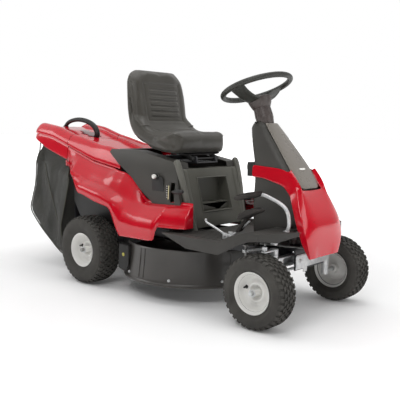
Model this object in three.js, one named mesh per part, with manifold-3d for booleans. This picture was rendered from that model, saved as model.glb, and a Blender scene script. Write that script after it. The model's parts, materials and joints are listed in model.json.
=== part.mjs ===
// Rear-engine riding lawn mower with a rear grass collector.
// Millimetres, +X forward, +Y to the driver's left, +Z up, ground at z = 0.
// The machine is drawn about its own wheels and shifted once, at the end, so that the
// origin lies under the middle of its overall box.
import * as THREE from "three";
import { mergeVertices } from "three/addons/utils/BufferGeometryUtils.js";
import Module from "manifold-3d";

const wasm = await Module();
wasm.setup();

// ---------------------------------------------------------------- driving dimensions
const SHIFT_X = 76; // from the drawing's origin to the middle of the overall box
const FRONT_X = 750; // front axle, in the drawing
const WHEELBASE = 1137;
const REAR_X = FRONT_X - WHEELBASE;
const WHEEL_Y = 320; // middle of every tyre
const TYRE_SIDES = 28;
const FRONT_TYRE = { radius: 159, width: 128, bead: 78.5, flange: 90 };
const REAR_TYRE = { radius: 182, width: 150, bead: 78.5, flange: 90 };
const STUB_R = 9.5; // front stub axles and kingpins
const SHAFT_R = 10; // rear half shafts
const KINGPIN_Y = 215;
const AXLE_PIVOT_Z = 262;
const PITMAN = 70; // length of the steering arms on the drag link
const TIE_ARM = 70; // length of the steering arms on the tie rod
const LINK_Z = 329; // level of the steering arms, under the drag link's front end
const LINK_REAR_Z = 298; // level of the drag link's rear end, under the sector's arm
const TIE_Z = 188; // level of the tie rod
const PIN_R = 5; // pins of the steering arms
const PINION = { x: 711, y: 0, radius: 22 };
const SECTOR = { x: 600, y: -150 };
const COLUMN_TILT = (20 * Math.PI) / 180; // steering column, leaning back from upright
const WHEEL_HUB = [474, 0, 1033]; // middle of the steering wheel's rim
const RIM_R = 163;
const RIM_SECTION_R = 13.5;
const SPOKE_WIDTH = 60;
const RAIL = { y0: 150, y1: 175, z0: 280, z1: 316 };
const ENGINE = { x: -65, y: 0 };
const SPINDLE = { x: 100, y: 0 };
const GEARBOX = { x: REAR_X, y: -65 };
const DECK_R = 375;
const DECK_Z = 85; // lower edge of the deck's skirt
const WALL = 4; // plastic covers
const GAP = 0.4; // between pieces that touch

// ---------------------------------------------------------------- materials
const finish = (color, roughness, metalness = 0) => ({ color, roughness, metalness });
const RED = finish(0xc8102e, 0.25);
const DARK = finish(0x4c4a45, 0.6);
const GREY = finish(0x6b6a62, 0.6);
const BLACK = finish(0x26262a, 0.7);
const ZINC = finish(0xd8d8d6, 0.35, 0.9);
const STEEL = finish(0xaaa9a5, 0.4, 0.9);
const FRAME_PAINT = finish(0x2e2e30, 0.5, 0.3);
const DECK_PAINT = finish(0x4e4b48, 0.45, 0.2);
const CAST = finish(0x8f9092, 0.6, 0.6);
const RUBBER = finish(0x3a3937, 0.85);
const RIM_PAINT = finish(0xd0cfcb, 0.4, 0.2);
const VINYL = finish(0x4a4742, 0.6);
const CLOTH = finish(0x3a3a34, 0.9);
const WHITE = finish(0xe8e8e4, 0.4);

// ---------------------------------------------------------------- solids from three.js shapes
function solid(geometry) {
  const bare = geometry.clone();
  bare.deleteAttribute("normal");
  bare.deleteAttribute("uv");
  const merged = mergeVertices(bare, 1e-4);
  const index = [];
  for (let i = 0; i < merged.index.count; i += 3) {
    const [a, b, c] = [0, 1, 2].map((k) => merged.index.getX(i + k));
    if (a !== b && b !== c && c !== a) index.push(a, b, c);
  }
  const build = () =>
    new wasm.Manifold(
      new wasm.Mesh({
        numProp: 3,
        vertProperties: merged.attributes.position.array,
        triVerts: new Uint32Array(index),
      }),
    );
  let made = build();
  if (made.volume() < 0) {
    for (let i = 0; i < index.length; i += 3) [index[i], index[i + 1]] = [index[i + 1], index[i]];
    made = build();
  }
  return made;
}

const joined = (...solids) => solids.reduce((a, b) => a.add(b));
const cut = (body, ...tools) => tools.reduce((a, b) => a.subtract(b), body);

function box(x0, x1, y0, y1, z0, z1) {
  const g = new THREE.BoxGeometry(x1 - x0, y1 - y0, z1 - z0);
  return solid(g.translate((x0 + x1) / 2, (y0 + y1) / 2, (z0 + z1) / 2));
}

function outline(points) {
  return new THREE.Shape(points.map(([a, b]) => new THREE.Vector2(a, b)));
}

// An [x, z] outline carried from y0 to y1.
function prismY(points, y0, y1) {
  const g = new THREE.ExtrudeGeometry(outline(points), { depth: y1 - y0, bevelEnabled: false });
  return solid(g.rotateX(Math.PI / 2).translate(0, y1, 0));
}

// An [x, y] outline carried from z0 to z1.
function prismZ(points, z0, z1) {
  const shape = points.isShape ? points : outline(points);
  const g = new THREE.ExtrudeGeometry(shape, { depth: z1 - z0, bevelEnabled: false });
  return solid(g.translate(0, 0, z0));
}

// A [y, z] outline carried from x0 to x1.
function prismX(points, x0, x1) {
  const g = new THREE.ExtrudeGeometry(outline(points), { depth: x1 - x0, bevelEnabled: false });
  return solid(g.rotateX(Math.PI / 2).rotateZ(Math.PI / 2).translate(x0, 0, 0));
}

// A [radius, height] profile turned about an axis: "z" upright, "y" along an axle.
function turned(profile, sides, axis = "z", turn = 0) {
  const onAxis = profile[0][0] === 0 && profile.at(-1)[0] === 0;
  const points = (onAxis ? profile : [...profile, profile[0]]).map(([r, h]) => new THREE.Vector2(r, h));
  const g = new THREE.LatheGeometry(points, sides).rotateY(turn);
  if (axis === "z") g.rotateX(Math.PI / 2);
  return solid(g);
}

function rod(from, to, radius, sides = 12) {
  const a = new THREE.Vector3(...from);
  const b = new THREE.Vector3(...to);
  const g = new THREE.CylinderGeometry(radius, radius, a.distanceTo(b), sides);
  const turn = new THREE.Quaternion().setFromUnitVectors(
    new THREE.Vector3(0, 1, 0),
    b.clone().sub(a).normalize(),
  );
  return solid(g.applyQuaternion(turn).translate(...a.add(b).multiplyScalar(0.5).toArray()));
}

// A round tube along a smooth curve through the points.
function tube(points, radius, sides = 8, steps = 24, tension = 0.5) {
  const curve = new THREE.CatmullRomCurve3(
    points.map((p) => new THREE.Vector3(...p)),
    false,
    "catmullrom",
    tension,
  );
  const section = new THREE.Shape();
  section.absarc(0, 0, radius, 0, 2 * Math.PI);
  const g = new THREE.ExtrudeGeometry(section, {
    extrudePath: curve,
    steps,
    bevelEnabled: false,
    curveSegments: sides / 2,
  });
  return solid(g);
}

// The outline moved inwards by a wall's thickness.
function inset(points, d) {
  const area = points.reduce((s, [x, y], i) => {
    const [nx, ny] = points[(i + 1) % points.length];
    return s + x * ny - nx * y;
  }, 0);
  const side = area > 0 ? d : -d;
  const edges = points.map(([x, y], i) => {
    const [nx, ny] = points[(i + 1) % points.length];
    const l = Math.hypot(nx - x, ny - y);
    const [ux, uy] = [(nx - x) / l, (ny - y) / l];
    return { x: x - uy * side, y: y + ux * side, ux, uy };
  });
  return edges.map((b, i) => {
    const a = edges[(i + edges.length - 1) % edges.length];
    const cross = a.ux * b.uy - a.uy * b.ux;
    if (Math.abs(cross) < 1e-6) return [b.x, b.y];
    const t = ((b.x - a.x) * b.uy - (b.y - a.y) * b.ux) / cross;
    return [a.x + a.ux * t, a.y + a.uy * t];
  });
}

function arc(cx, cy, r, from, to, steps) {
  return Array.from({ length: steps + 1 }, (_, i) => {
    const a = from + ((to - from) * i) / steps;
    return [cx + r * Math.cos(a), cy + r * Math.sin(a)];
  });
}

// ---------------------------------------------------------------- the scene graph
const mower = new THREE.Group();
mower.position.x = SHIFT_X;

function place(name, body, look, parent = mower) {
  const m = body.getMesh();
  const g = new THREE.BufferGeometry();
  const count = m.vertProperties.length / m.numProp;
  const xyz = new Float32Array(count * 3);
  for (let i = 0; i < count; i++) xyz.set(m.vertProperties.subarray(i * m.numProp, i * m.numProp + 3), i * 3);
  g.setAttribute("position", new THREE.BufferAttribute(xyz, 3));
  g.setIndex(new THREE.BufferAttribute(m.triVerts, 1));
  g.computeVertexNormals();
  const mesh = new THREE.Mesh(g, new THREE.MeshStandardMaterial(look));
  mesh.name = name;
  parent.add(mesh);
  return mesh;
}

function group(x, y, z) {
  const g = new THREE.Group();
  g.position.set(x, y, z);
  mower.add(g);
  return g;
}

// ---------------------------------------------------------------- wheels
// The crown of each tyre is made of flats, one of them level at the bottom.
function tyre(size) {
  const flat = 1 / Math.cos(Math.PI / TYRE_SIDES);
  const half = size.width / 2;
  const r = size.radius;
  const profile = [
    [size.bead, -half * 0.62],
    [size.flange + 1, -half * 0.72],
    [r * 0.76, -half],
    [r * 0.93, -half * 0.92],
    [r * flat, -half * 0.6],
    [r * flat, half * 0.6],
    [r * 0.93, half * 0.92],
    [r * 0.76, half],
    [size.flange + 1, half * 0.72],
    [size.bead, half * 0.62],
  ];
  return turned(profile, TYRE_SIDES, "y", Math.PI / TYRE_SIDES);
}

// Pressed disc wheel: two flanges, a drop-centre barrel, a dished disc and a hub tube.
function rim(size, out) {
  const half = size.width / 2;
  const edge = half * 0.72;
  const bead = size.bead - 1.3;
  const hub = 11;
  const profile = [
    [size.flange, -edge - 5],
    [size.flange, -edge - 1],
    [bead, -half * 0.62 - 0.6],
    [bead - 8, 0],
    [bead, half * 0.62 + 0.6],
    [size.flange, edge + 1],
    [size.flange, edge + 5],
    [bead - 6, edge],
    [bead - 12, 24],
    [46, 12],
    [22, 24],
    [22, 48],
    [hub, 48],
    [hub, -30],
    [22, -30],
    [24, 4],
    [bead - 16, 6],
    [bead - 12, -edge],
  ];
  return turned(
    profile.map(([r, h]) => [r, h * out]),
    16,
    "y",
  );
}

for (const [side, out] of [
  ["right", -1],
  ["left", 1],
]) {
  const front = group(FRONT_X, out * WHEEL_Y, FRONT_TYRE.radius);
  place(`front_tyre_${side}`, tyre(FRONT_TYRE), RUBBER, front);
  place(`front_rim_${side}`, rim(FRONT_TYRE, out), RIM_PAINT, front);
  const rear = group(REAR_X, out * WHEEL_Y, REAR_TYRE.radius);
  place(`rear_tyre_${side}`, tyre(REAR_TYRE), RUBBER, rear);
  place(`rear_rim_${side}`, rim(REAR_TYRE, out), RIM_PAINT, rear);
  const from = out * 4;
  const to = out * (WHEEL_Y + 62);
  place(
    `half_shaft_${side}`,
    rod([REAR_X, from, REAR_TYRE.radius], [REAR_X, to, REAR_TYRE.radius], SHAFT_R, 16),
    STEEL,
  );
}

// ---------------------------------------------------------------- front axle and steering
function axleBeam() {
  const z0 = AXLE_PIVOT_Z - 22;
  const z1 = AXLE_PIVOT_Z + 22;
  const tubes = [-1, 1].map((s) => {
    const [y, z] = [s * KINGPIN_Y, AXLE_PIVOT_Z - 42];
    return rod([FRONT_X, y, z], [FRONT_X, y, z + 82], 18, 16);
  });
  const hollow = [-1, 1].map((s) => {
    const y = s * KINGPIN_Y;
    return rod([FRONT_X, y, 100], [FRONT_X, y, 400], STUB_R + 1, 16);
  });
  const beam = box(FRONT_X - 16, FRONT_X + 16, -KINGPIN_Y + 8, KINGPIN_Y - 8, z0, z1);
  const lightening = [-1, 1].map((s) =>
    box(FRONT_X - 20, FRONT_X + 20, s * 110 - 55, s * 110 + 55, z0 + 4, z1 - 6).intersect(
      box(FRONT_X - 13, FRONT_X + 20, -200, 200, z0, z1),
    ),
  );
  const pivot = rod([FRONT_X - 30, 0, AXLE_PIVOT_Z], [FRONT_X + 30, 0, AXLE_PIVOT_Z], 9.5, 16);
  return cut(joined(beam, ...tubes), ...hollow, ...lightening, pivot);
}
place("axle_beam", axleBeam(), ZINC);

function knuckle(s) {
  const y = s * KINGPIN_Y;
  const z = FRONT_TYRE.radius;
  const kingpin = rod([FRONT_X, y, z], [FRONT_X, y, LINK_Z - 1], STUB_R, 16);
  const foot = rod([FRONT_X, y, z - 14], [FRONT_X, y, AXLE_PIVOT_Z - 43], 17, 16);
  const stub = rod([FRONT_X, y, z], [FRONT_X, s * (WHEEL_Y + 62), z], STUB_R, 16);
  const tieArm = joined(
    box(FRONT_X - TIE_ARM, FRONT_X, y - 11, y + 11, TIE_Z + 8, TIE_Z + 16),
    rod([FRONT_X - TIE_ARM, y, TIE_Z + 8], [FRONT_X - TIE_ARM, y, TIE_Z + 16], 13, 12),
    rod([FRONT_X - TIE_ARM, y, TIE_Z - 10], [FRONT_X - TIE_ARM, y, TIE_Z + 16], PIN_R, 12),
  );
  const cap = rod([FRONT_X, y, AXLE_PIVOT_Z + 42], [FRONT_X, y, LINK_Z - 1], 19, 16);
  const whole = joined(kingpin, foot, stub, tieArm, cap);
  if (s > 0) return whole;
  const end = y - PITMAN;
  const [low, high] = [LINK_Z - 9, LINK_Z - 3];
  return joined(
    whole,
    box(FRONT_X - 11, FRONT_X + 11, end, y, low, high),
    rod([FRONT_X, end, low], [FRONT_X, end, high], 13, 16),
    rod([FRONT_X, end, low], [FRONT_X, end, LINK_Z + 18], PIN_R, 12),
  );
}
place("knuckle_right", knuckle(-1), ZINC);
place("knuckle_left", knuckle(1), ZINC);

// A rod with an eye at each end, bored for the upright pins it turns on.
function eyeRod(ends, radius) {
  const eyes = ends.map(({ at: [x, y, z], bore }) => rod([x, y, z - 7], [x, y, z + 7], bore + 6, 12));
  const bores = ends.map(({ at: [x, y, z], bore }) => rod([x, y, z - 20], [x, y, z + 20], bore, 12));
  return cut(joined(rod(ends[0].at, ends[1].at, radius, 10), ...eyes), ...bores);
}
const SNUG = PIN_R + 0.8;
const LOOSE = PIN_R + 5; // lets the rocking axle's pin slide and lean in the eye
const tieX = FRONT_X - TIE_ARM;
const TIE_ENDS = [
  { at: [tieX, -KINGPIN_Y, TIE_Z], bore: SNUG },
  { at: [tieX, KINGPIN_Y, TIE_Z], bore: SNUG },
];
place("tie_rod", eyeRod(TIE_ENDS, 7), ZINC);
const LINK_ENDS = [
  { at: [FRONT_X, -KINGPIN_Y - PITMAN, LINK_Z + 9], bore: SNUG },
  { at: [SECTOR.x, SECTOR.y - PITMAN, LINK_REAR_Z], bore: LOOSE },
];
place("drag_link", eyeRod(LINK_ENDS, 6), ZINC);

// Toothed edge of a gear as an outline: flat-topped teeth, each in the middle of its pitch.
function teeth(cx, cy, root, tip, from, pitch, count) {
  const form = [
    [0, root],
    [0.27, root],
    [0.4, tip],
    [0.6, tip],
    [0.73, root],
  ];
  return Array.from({ length: count }, (_, i) =>
    form.map(([f, r]) => {
      const a = from + (i + f) * pitch;
      return [cx + r * Math.cos(a), cy + r * Math.sin(a)];
    }),
  ).flat();
}

// The sector is toothed inside, so that it turns the same way as the pinion in its window.
const SECTOR_DISTANCE = Math.hypot(PINION.x - SECTOR.x, PINION.y - SECTOR.y);
const SECTOR_R = SECTOR_DISTANCE + PINION.radius;
const SECTOR_TOWARDS = Math.atan2(PINION.y - SECTOR.y, PINION.x - SECTOR.x);
const PINION_TEETH = 11;
const SECTOR_TEETH = 21;
const ADDENDUM = 2;
const DEDENDUM = 4.5;

function sector() {
  const [low, high] = [LINK_Z - 9, LINK_Z - 3];
  const pitch = ((2 * Math.PI) / PINION_TEETH) * (PINION.radius / SECTOR_R);
  const half = (SECTOR_TEETH * pitch) / 2;
  const margin = 0.07;
  const edge = (r, from, to) => arc(SECTOR.x, SECTOR.y, r, from, to, 14);
  const [from, to] = [SECTOR_TOWARDS - half, SECTOR_TOWARDS + half];
  const slice = prismZ([...edge(SECTOR_R + 16, from - margin, to + margin), [SECTOR.x, SECTOR.y]], low, high);
  const toothed = teeth(
    SECTOR.x,
    SECTOR.y,
    SECTOR_R + DEDENDUM,
    SECTOR_R - ADDENDUM,
    from,
    pitch,
    SECTOR_TEETH,
  );
  const near = SECTOR_DISTANCE - PINION.radius - 9;
  const window = prismZ([...toothed, ...edge(near, to, from)], low - 5, high + 5);
  const hub = rod([SECTOR.x, SECTOR.y, LINK_Z - 12], [SECTOR.x, SECTOR.y, LINK_Z - 1], 22, 16);
  const end = SECTOR.y - PITMAN;
  const arm = joined(
    box(SECTOR.x - 13, SECTOR.x + 13, end, SECTOR.y, low, high),
    rod([SECTOR.x, end, low], [SECTOR.x, end, high], 13, 12),
    rod([SECTOR.x, end, LINK_REAR_Z - 22], [SECTOR.x, end, high], PIN_R, 12),
  );
  const bore = rod([SECTOR.x, SECTOR.y, 300], [SECTOR.x, SECTOR.y, 350], 9.5, 16);
  return cut(joined(cut(slice, window), hub, arm), bore);
}
place("steering_sector", sector(), STEEL);

function pinion() {
  const [root, tip] = [PINION.radius - DEDENDUM, PINION.radius + ADDENDUM];
  const pitch = (2 * Math.PI) / PINION_TEETH;
  const wheel = teeth(PINION.x, PINION.y, root, tip, SECTOR_TOWARDS, pitch, PINION_TEETH);
  const shaft = rod([PINION.x, PINION.y, LINK_Z - 14], [PINION.x, PINION.y, 372], 9, 12);
  const yoke = box(PINION.x - 14, PINION.x + 14, -14, 14, 360, 374);
  return joined(prismZ(wheel, LINK_Z - 12, LINK_Z + 4), shaft, yoke);
}
place("steering_pinion", pinion(), STEEL);

const downColumn = [Math.sin(COLUMN_TILT), 0, -Math.cos(COLUMN_TILT)];
const onColumn = (s) => WHEEL_HUB.map((v, i) => v + downColumn[i] * s);
const COLUMN_LENGTH = 690;
place("steering_shaft", rod(onColumn(95), onColumn(COLUMN_LENGTH), 9, 12), STEEL);

// The steering wheel is drawn flat, about its own axis, and tilted with the column.
function steeringWheel() {
  const rim = solid(new THREE.TorusGeometry(RIM_R, RIM_SECTION_R, 8, 28));
  const dish = turned(
    [
      [0, -50],
      [34, -52],
      [46, -62],
      [46, -78],
      [30, -92],
      [0, -92],
    ],
    20,
  );
  const spokes = [-90, 90].map((deg) => {
    const profile = [
      [30, -86],
      [30, -62],
      [RIM_R - 24, -14],
      [RIM_R - 4, 6],
      [RIM_R + 4, -6],
      [RIM_R - 18, -26],
    ];
    const g = new THREE.ExtrudeGeometry(outline(profile), { depth: SPOKE_WIDTH, bevelEnabled: false });
    g.rotateX(Math.PI / 2).translate(0, SPOKE_WIDTH / 2, 0).rotateZ((deg * Math.PI) / 180);
    return solid(g);
  });
  return joined(rim, dish, ...spokes);
}
const tilted = group(...WHEEL_HUB);
tilted.rotation.y = -COLUMN_TILT;
place("steering_wheel", steeringWheel(), BLACK, tilted);
const neck = [
  [15, -95],
  [38, -95],
  [36, -105],
  [40, -112],
  [37, -122],
  [41, -130],
  [38, -140],
  [41, -150],
  [15, -150],
];
place("column_neck", turned(neck, 20), BLACK, tilted);

// ---------------------------------------------------------------- chassis
function chassisFrame() {
  const rails = [-1, 1].map((s) => {
    const [a, b] = [s * RAIL.y0, s * RAIL.y1].sort((p, q) => p - q);
    return box(-694, 690, a, b, RAIL.z0, RAIL.z1);
  });
  const crossings = [
    [-694, -664],
    [-20, 10],
    [210, 240],
    [640, 690],
  ].map(([x0, x1]) => box(x0, x1, -160, 160, RAIL.z0, RAIL.z1));
  const nose = box(600, FRONT_X + 48, -70, 70, RAIL.z0 + 16, RAIL.z1);
  const plates = [FRONT_X - 44, FRONT_X + 42].map((x) => box(x, x + 6, -120, 120, 222, RAIL.z1));
  const under = box(SECTOR.x - 30, SECTOR.x + 30, -176, -120, RAIL.z0, RAIL.z1);
  const post = rod([SECTOR.x, SECTOR.y, 300], [SECTOR.x, SECTOR.y, LINK_Z + 6], 8.5, 16);
  const tail = box(-700, -694, -190, 190, 255, 620);
  const mouth = box(-720, -680, 24, 144, 336, 486);
  const pivotBore = rod([FRONT_X - 80, 0, AXLE_PIVOT_Z], [FRONT_X + 80, 0, AXLE_PIVOT_Z], 9, 16);
  const pinionBore = rod([PINION.x, 0, 250], [PINION.x, 0, 400], 10, 12);
  const body = joined(...rails, ...crossings, nose, ...plates, under, post, tail);
  return cut(body, mouth, pivotBore, pinionBore);
}
place("chassis_frame", chassisFrame(), FRAME_PAINT);

const PLATE_TOP = RAIL.z1 + GAP + 6;
function enginePlate() {
  return cut(
    box(-180, 70, -RAIL.y1 + 3, RAIL.y1 - 3, RAIL.z1 + GAP, PLATE_TOP),
    rod([ENGINE.x, 0, 250], [ENGINE.x, 0, 350], 30, 16),
    rod([SPINDLE.x, 0, 250], [SPINDLE.x, 0, 350], 62, 16),
  );
}
place("engine_plate", enginePlate(), FRAME_PAINT);
place(
  "axle_pivot_pin",
  joined(
    rod([FRONT_X - 62, 0, AXLE_PIVOT_Z], [FRONT_X + 62, 0, AXLE_PIVOT_Z], 8.5, 12),
    rod([FRONT_X + 49, 0, AXLE_PIVOT_Z], [FRONT_X + 62, 0, AXLE_PIVOT_Z], 15, 6),
  ),
  ZINC,
);

// Moulded footboard: a tray with a skirt, open underneath, stepped up over the front wheels.
function footboard() {
  const side = [
    [185, 345],
    [540, 345],
    [610, 380],
    [690, 404],
    [840, 404],
    [860, 396],
    [800, 366],
    [660, 346],
    [600, 316],
    [545, 289],
    [350, 289],
    [185, 340],
  ];
  const half = [
    [185, 0],
    [185, 340],
    [640, 356],
    [740, 330],
    [800, 270],
    [848, 150],
    [848, 0],
  ];
  const plan = [...half, ...half.slice(1, -1).reverse().map(([x, y]) => [x, -y])];
  const outer = prismY(side, -400, 400).intersect(prismZ(plan, 200, 500));
  const SKIRT_TOP = 340; // outline points below this belong to the skirt's lower edge
  const below = side.map(([x, z]) => [x, z - WALL - (z - WALL < SKIRT_TOP ? 80 : 0)]);
  const under = prismY(below, -400, 400).intersect(prismZ(inset(plan, WALL), 150, 500));
  const foot = joined(box(560, 900, -98, 98, 200, 500), box(800, 900, -162, 162, 200, 500));
  const pedalSlot = box(764, 806, -193, -157, 300, 450);
  const back = box(150, 290, -215, 215, 200, 500);
  const frontWheel = (s) =>
    turned(
      [
        [0, 0],
        [196, 0],
        [196, 200],
        [0, 200],
      ],
      24,
      "y",
    ).translate(FRONT_X, s > 0 ? 205 : -405, 175);
  const rocker = box(460, 520, -262, -214, 250, 400);
  return cut(outer, under, foot, back, frontWheel(1), frontWheel(-1), rocker, pedalSlot);
}
place("footboard", footboard(), DARK);

// ---------------------------------------------------------------- steering column cover and hood
// Upright shells are made from a side outline and a front outline cut through each other.
function shell(side, front, wall, openings) {
  const whole = prismY(side, -400, 400).intersect(prismX(front, -1200, 1200));
  const inside = prismY(inset(side, wall), -400, 400).intersect(prismX(inset(front, wall), -1200, 1200));
  return cut(whole, inside, ...openings);
}

const coverFront = [
  [-62, 873],
  [62, 873],
  [84, 780],
  [101, 660],
  [108, 590],
  [118, 346],
  [-118, 346],
  [-108, 590],
  [-101, 660],
  [-84, 780],
];

function columnCover() {
  const side = [
    [486, 873],
    [566, 873],
    [645, 774],
    [728, 657],
    [722, 600],
    [806, 440],
    [806, 411],
    [690, 411],
    [610, 388],
    [560, 362],
    [546, 362],
    [542, 620],
    [512, 770],
  ];
  const top = rod(onColumn(120), onColumn(240), 24, 16);
  const bottom = box(556, 800, -112, 112, 340, 420);
  return shell(side, coverFront, WALL, [top, bottom]);
}
place("column_cover", columnCover(), DARK);

function frontHood() {
  const side = [
    [543, 673],
    [734, 663],
    [827, 530],
    [868, 445],
    [877, 330],
    [872, 286],
    [862, 286],
    [844, 352],
    [819, 432],
    [772, 525],
    [735, 587],
    [564, 628],
    [546, 636],
  ];
  const front = [
    [-112, 680],
    [112, 680],
    [110, 616],
    [125, 560],
    [146, 506],
    [157, 425],
    [150, 378],
    [118, 282],
    [-118, 282],
    [-150, 378],
    [-157, 425],
    [-146, 506],
    [-125, 560],
    [-110, 616],
  ];
  const whole = prismY(side, -200, 200).intersect(prismX(front, 400, 1000));
  const hollow = prismY(
    [
      [500, 700],
      [730, 700],
      [730, 659],
      [822, 527],
      [863, 443],
      [872, 330],
      [868, 240],
      [500, 240],
    ],
    -200,
    200,
  ).intersect(
    prismX(
      front.map(([y, z]) => [y - Math.sign(y) * WALL, z + (z > 650 ? 30 : 0) - (z < 300 ? 30 : 0)]),
      400,
      1000,
    ),
  );
  return cut(whole, hollow);
}
place("front_hood", frontHood(), RED);

function dashPanel() {
  const body = box(470, 526, -52, 52, 618, 684);
  return cut(body, rod([452, -22, 660], [520, -22, 660], 6.5, 12), box(440, 500, 10, 22, 628, 674));
}
place("dash_panel", dashPanel(), DARK);
place(
  "ignition_key",
  joined(rod([460, -22, 660], [518, -22, 660], 5.5, 12), box(446, 464, -24, -20, 649, 671)),
  STEEL,
);
place(
  "throttle_lever",
  joined(
    rod([490, 12, 640], [490, 20, 640], 7, 12),
    box(440, 490, 13.5, 18.5, 637, 643),
    rod([430, 16, 634], [430, 16, 650], 9, 12),
    box(430, 442, 13.5, 18.5, 637, 643),
  ),
  BLACK,
);

// ---------------------------------------------------------------- pedals
const BRAKE_PIVOT = [784, -175, 396];
function brakePedal() {
  const y = -175;
  const arm = tube(
    [
      [784, y, 398],
      [797, y, 430],
      [790, y, 480],
      [752, y, 518],
      [690, y, 545],
      [648, y, 553],
    ],
    8,
    8,
    12,
  );
  const pivot = rod([BRAKE_PIVOT[0], y - 14, 396], [BRAKE_PIVOT[0], y + 14, 396], 11, 12);
  const pad = box(590, 652, y - 118, y + 12, 540, 549);
  return joined(arm, pivot, pad);
}
place("brake_pedal", brakePedal(), ZINC);

const ROCKER = [512, -238, 352];
function driveRocker() {
  const y = ROCKER[1];
  const bar = tube(
    [
      [376, y, 418],
      [384, y, 402],
      [440, y, 382],
      [512, y, 352],
      [572, y, 390],
      [632, y, 440],
    ],
    5,
    8,
    14,
    0.3,
  );
  const eye = rod([ROCKER[0], y - 10, ROCKER[2]], [ROCKER[0], y + 10, ROCKER[2]], 10, 12);
  const pad = box(592, 664, y - 36, y + 30, 446, 454);
  return joined(bar, eye, pad, box(612, 640, y - 5, y + 5, 428, 450));
}
place("drive_rocker", driveRocker(), ZINC);

// ---------------------------------------------------------------- seat and its console
const SEAT_HALF = 205;
function seatPad() {
  const side = [
    [118, 712],
    [142, 735],
    [146, 785],
    [122, 822],
    [20, 818],
    [-78, 826],
    [-128, 872],
    [-148, 960],
    [-172, 1060],
    [-186, 1130],
    [-204, 1150],
    [-228, 1150],
    [-246, 1125],
    [-246, 1000],
    [-234, 900],
    [-206, 824],
    [-165, 779],
    [-45, 728],
  ];
  const plan = [
    [-300, -SEAT_HALF],
    [100, -SEAT_HALF],
    [132, -SEAT_HALF + 12],
    [150, -SEAT_HALF + 60],
    [150, SEAT_HALF - 60],
    [132, SEAT_HALF - 12],
    [100, SEAT_HALF],
    [-300, SEAT_HALF],
  ];
  const back = [
    [-SEAT_HALF, 600],
    [SEAT_HALF, 600],
    [SEAT_HALF, 1060],
    [SEAT_HALF - 22, 1120],
    [SEAT_HALF - 70, 1150],
    [-SEAT_HALF + 70, 1150],
    [-SEAT_HALF + 22, 1120],
    [-SEAT_HALF, 1060],
  ];
  return prismY(side, -SEAT_HALF, SEAT_HALF)
    .intersect(prismZ(plan, 600, 1200))
    .intersect(prismX(back, -400, 400));
}
place("seat_pad", seatPad(), VINYL);

const SEAT_HINGE = [150, 686]; // x and z of the tilting seat's hinge pin
function seatPan() {
  const plate = prismY(
    [
      [126, 704],
      [116, 711],
      [-45, 727],
      [-167, 778],
      [-172, 772],
      [-48, 719],
    ],
    -120,
    120,
  );
  const ears = [-100, 88].map((y) =>
    prismY(
      [
        [126, 706],
        [90, 706],
        [138, 678],
        [158, 678],
        [160, 692],
      ],
      y,
      y + 12,
    ),
  );
  const pin = rod([SEAT_HINGE[0], -102, SEAT_HINGE[1]], [SEAT_HINGE[0], 102, SEAT_HINGE[1]], 5, 12);
  return joined(plate, ...ears, pin);
}
place("seat_pan", seatPan(), BLACK);

function seatBracket() {
  const strip = box(-110, 170, -78, 78, 664, 670);
  const lugs = [-80, 68].map((y) =>
    prismY(
      [
        [132, 664],
        [172, 664],
        [162, 698],
        [140, 698],
      ],
      y,
      y + 12,
    ),
  );
  const bore = rod([SEAT_HINGE[0], -130, SEAT_HINGE[1]], [SEAT_HINGE[0], 130, SEAT_HINGE[1]], 6, 12);
  const stop = box(-100, -70, -60, 60, 668, 694);
  return cut(joined(strip, ...lugs, stop), bore);
}
place("seat_bracket", seatBracket(), FRAME_PAINT);
place(
  "seat_knob",
  joined(rod([60, -84, 667], [60, -110, 667], 6, 10), rod([60, -110, 667], [60, -136, 667], 15, 12)),
  ZINC,
);

const CONSOLE_HALF = 238;
function seatConsole() {
  const side = [
    [-345, 706],
    [-335, 722],
    [-120, 722],
    [52, 692],
    [172, 668],
    [250, 352],
    [30, 352],
    [20, 470],
    [-75, 531],
    [-146, 585],
    [-262, 650],
  ];
  const front = [
    [-CONSOLE_HALF - 14, 352],
    [-CONSOLE_HALF - 12, 520],
    [-CONSOLE_HALF + 6, 640],
    [-CONSOLE_HALF + 30, 740],
    [CONSOLE_HALF - 30, 740],
    [CONSOLE_HALF - 6, 640],
    [CONSOLE_HALF + 12, 520],
    [CONSOLE_HALF + 14, 352],
  ];
  const open = [
    box(130, 300, -208, 208, 300, 640), // the pedestal fills the front
    box(-400, 300, -230, 230, 300, 469),
    box(-300, 190, -150, 150, 640, 760), // the well under the seat
    box(-400, 60, -215, 215, 460, 600),
  ];
  const leverSlot = box(150, 178, -400, -200, 478, 574);
  const knobHole = rod([49, -300, 599], [49, -200, 599], 8.5, 12);
  return cut(shell(side, front, WALL, open), leverSlot, knobHole);
}
place("seat_console", seatConsole(), DARK);
place(
  "panel_knob",
  joined(rod([49, -270, 599], [49, -252, 599], 11, 16), rod([49, -253, 599], [49, -226, 599], 7.5, 12)),
  WHITE,
);

// Grey box that carries the seat, with an open pocket in its face.
function seatPedestal() {
  const side = [
    [110, 352],
    [263, 352],
    [256, 400],
    [188, 639],
    [110, 639],
  ];
  const whole = prismY(side, -204, 204);
  const inside = prismY(
    [
      [100, 340],
      [258, 340],
      [252, 398],
      [185, 635],
      [100, 635],
    ],
    -200,
    200,
  );
  const pocketWall = prismY(
    [
      [150, 424],
      [246, 424],
      [206, 596],
      [150, 596],
    ],
    -114,
    114,
  );
  const pocket = prismY(
    [
      [154, 428],
      [300, 428],
      [300, 592],
      [154, 592],
    ],
    -110,
    110,
  );
  return cut(joined(cut(whole, inside), pocketWall), pocket);
}
place("seat_pedestal", seatPedestal(), GREY);

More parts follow.
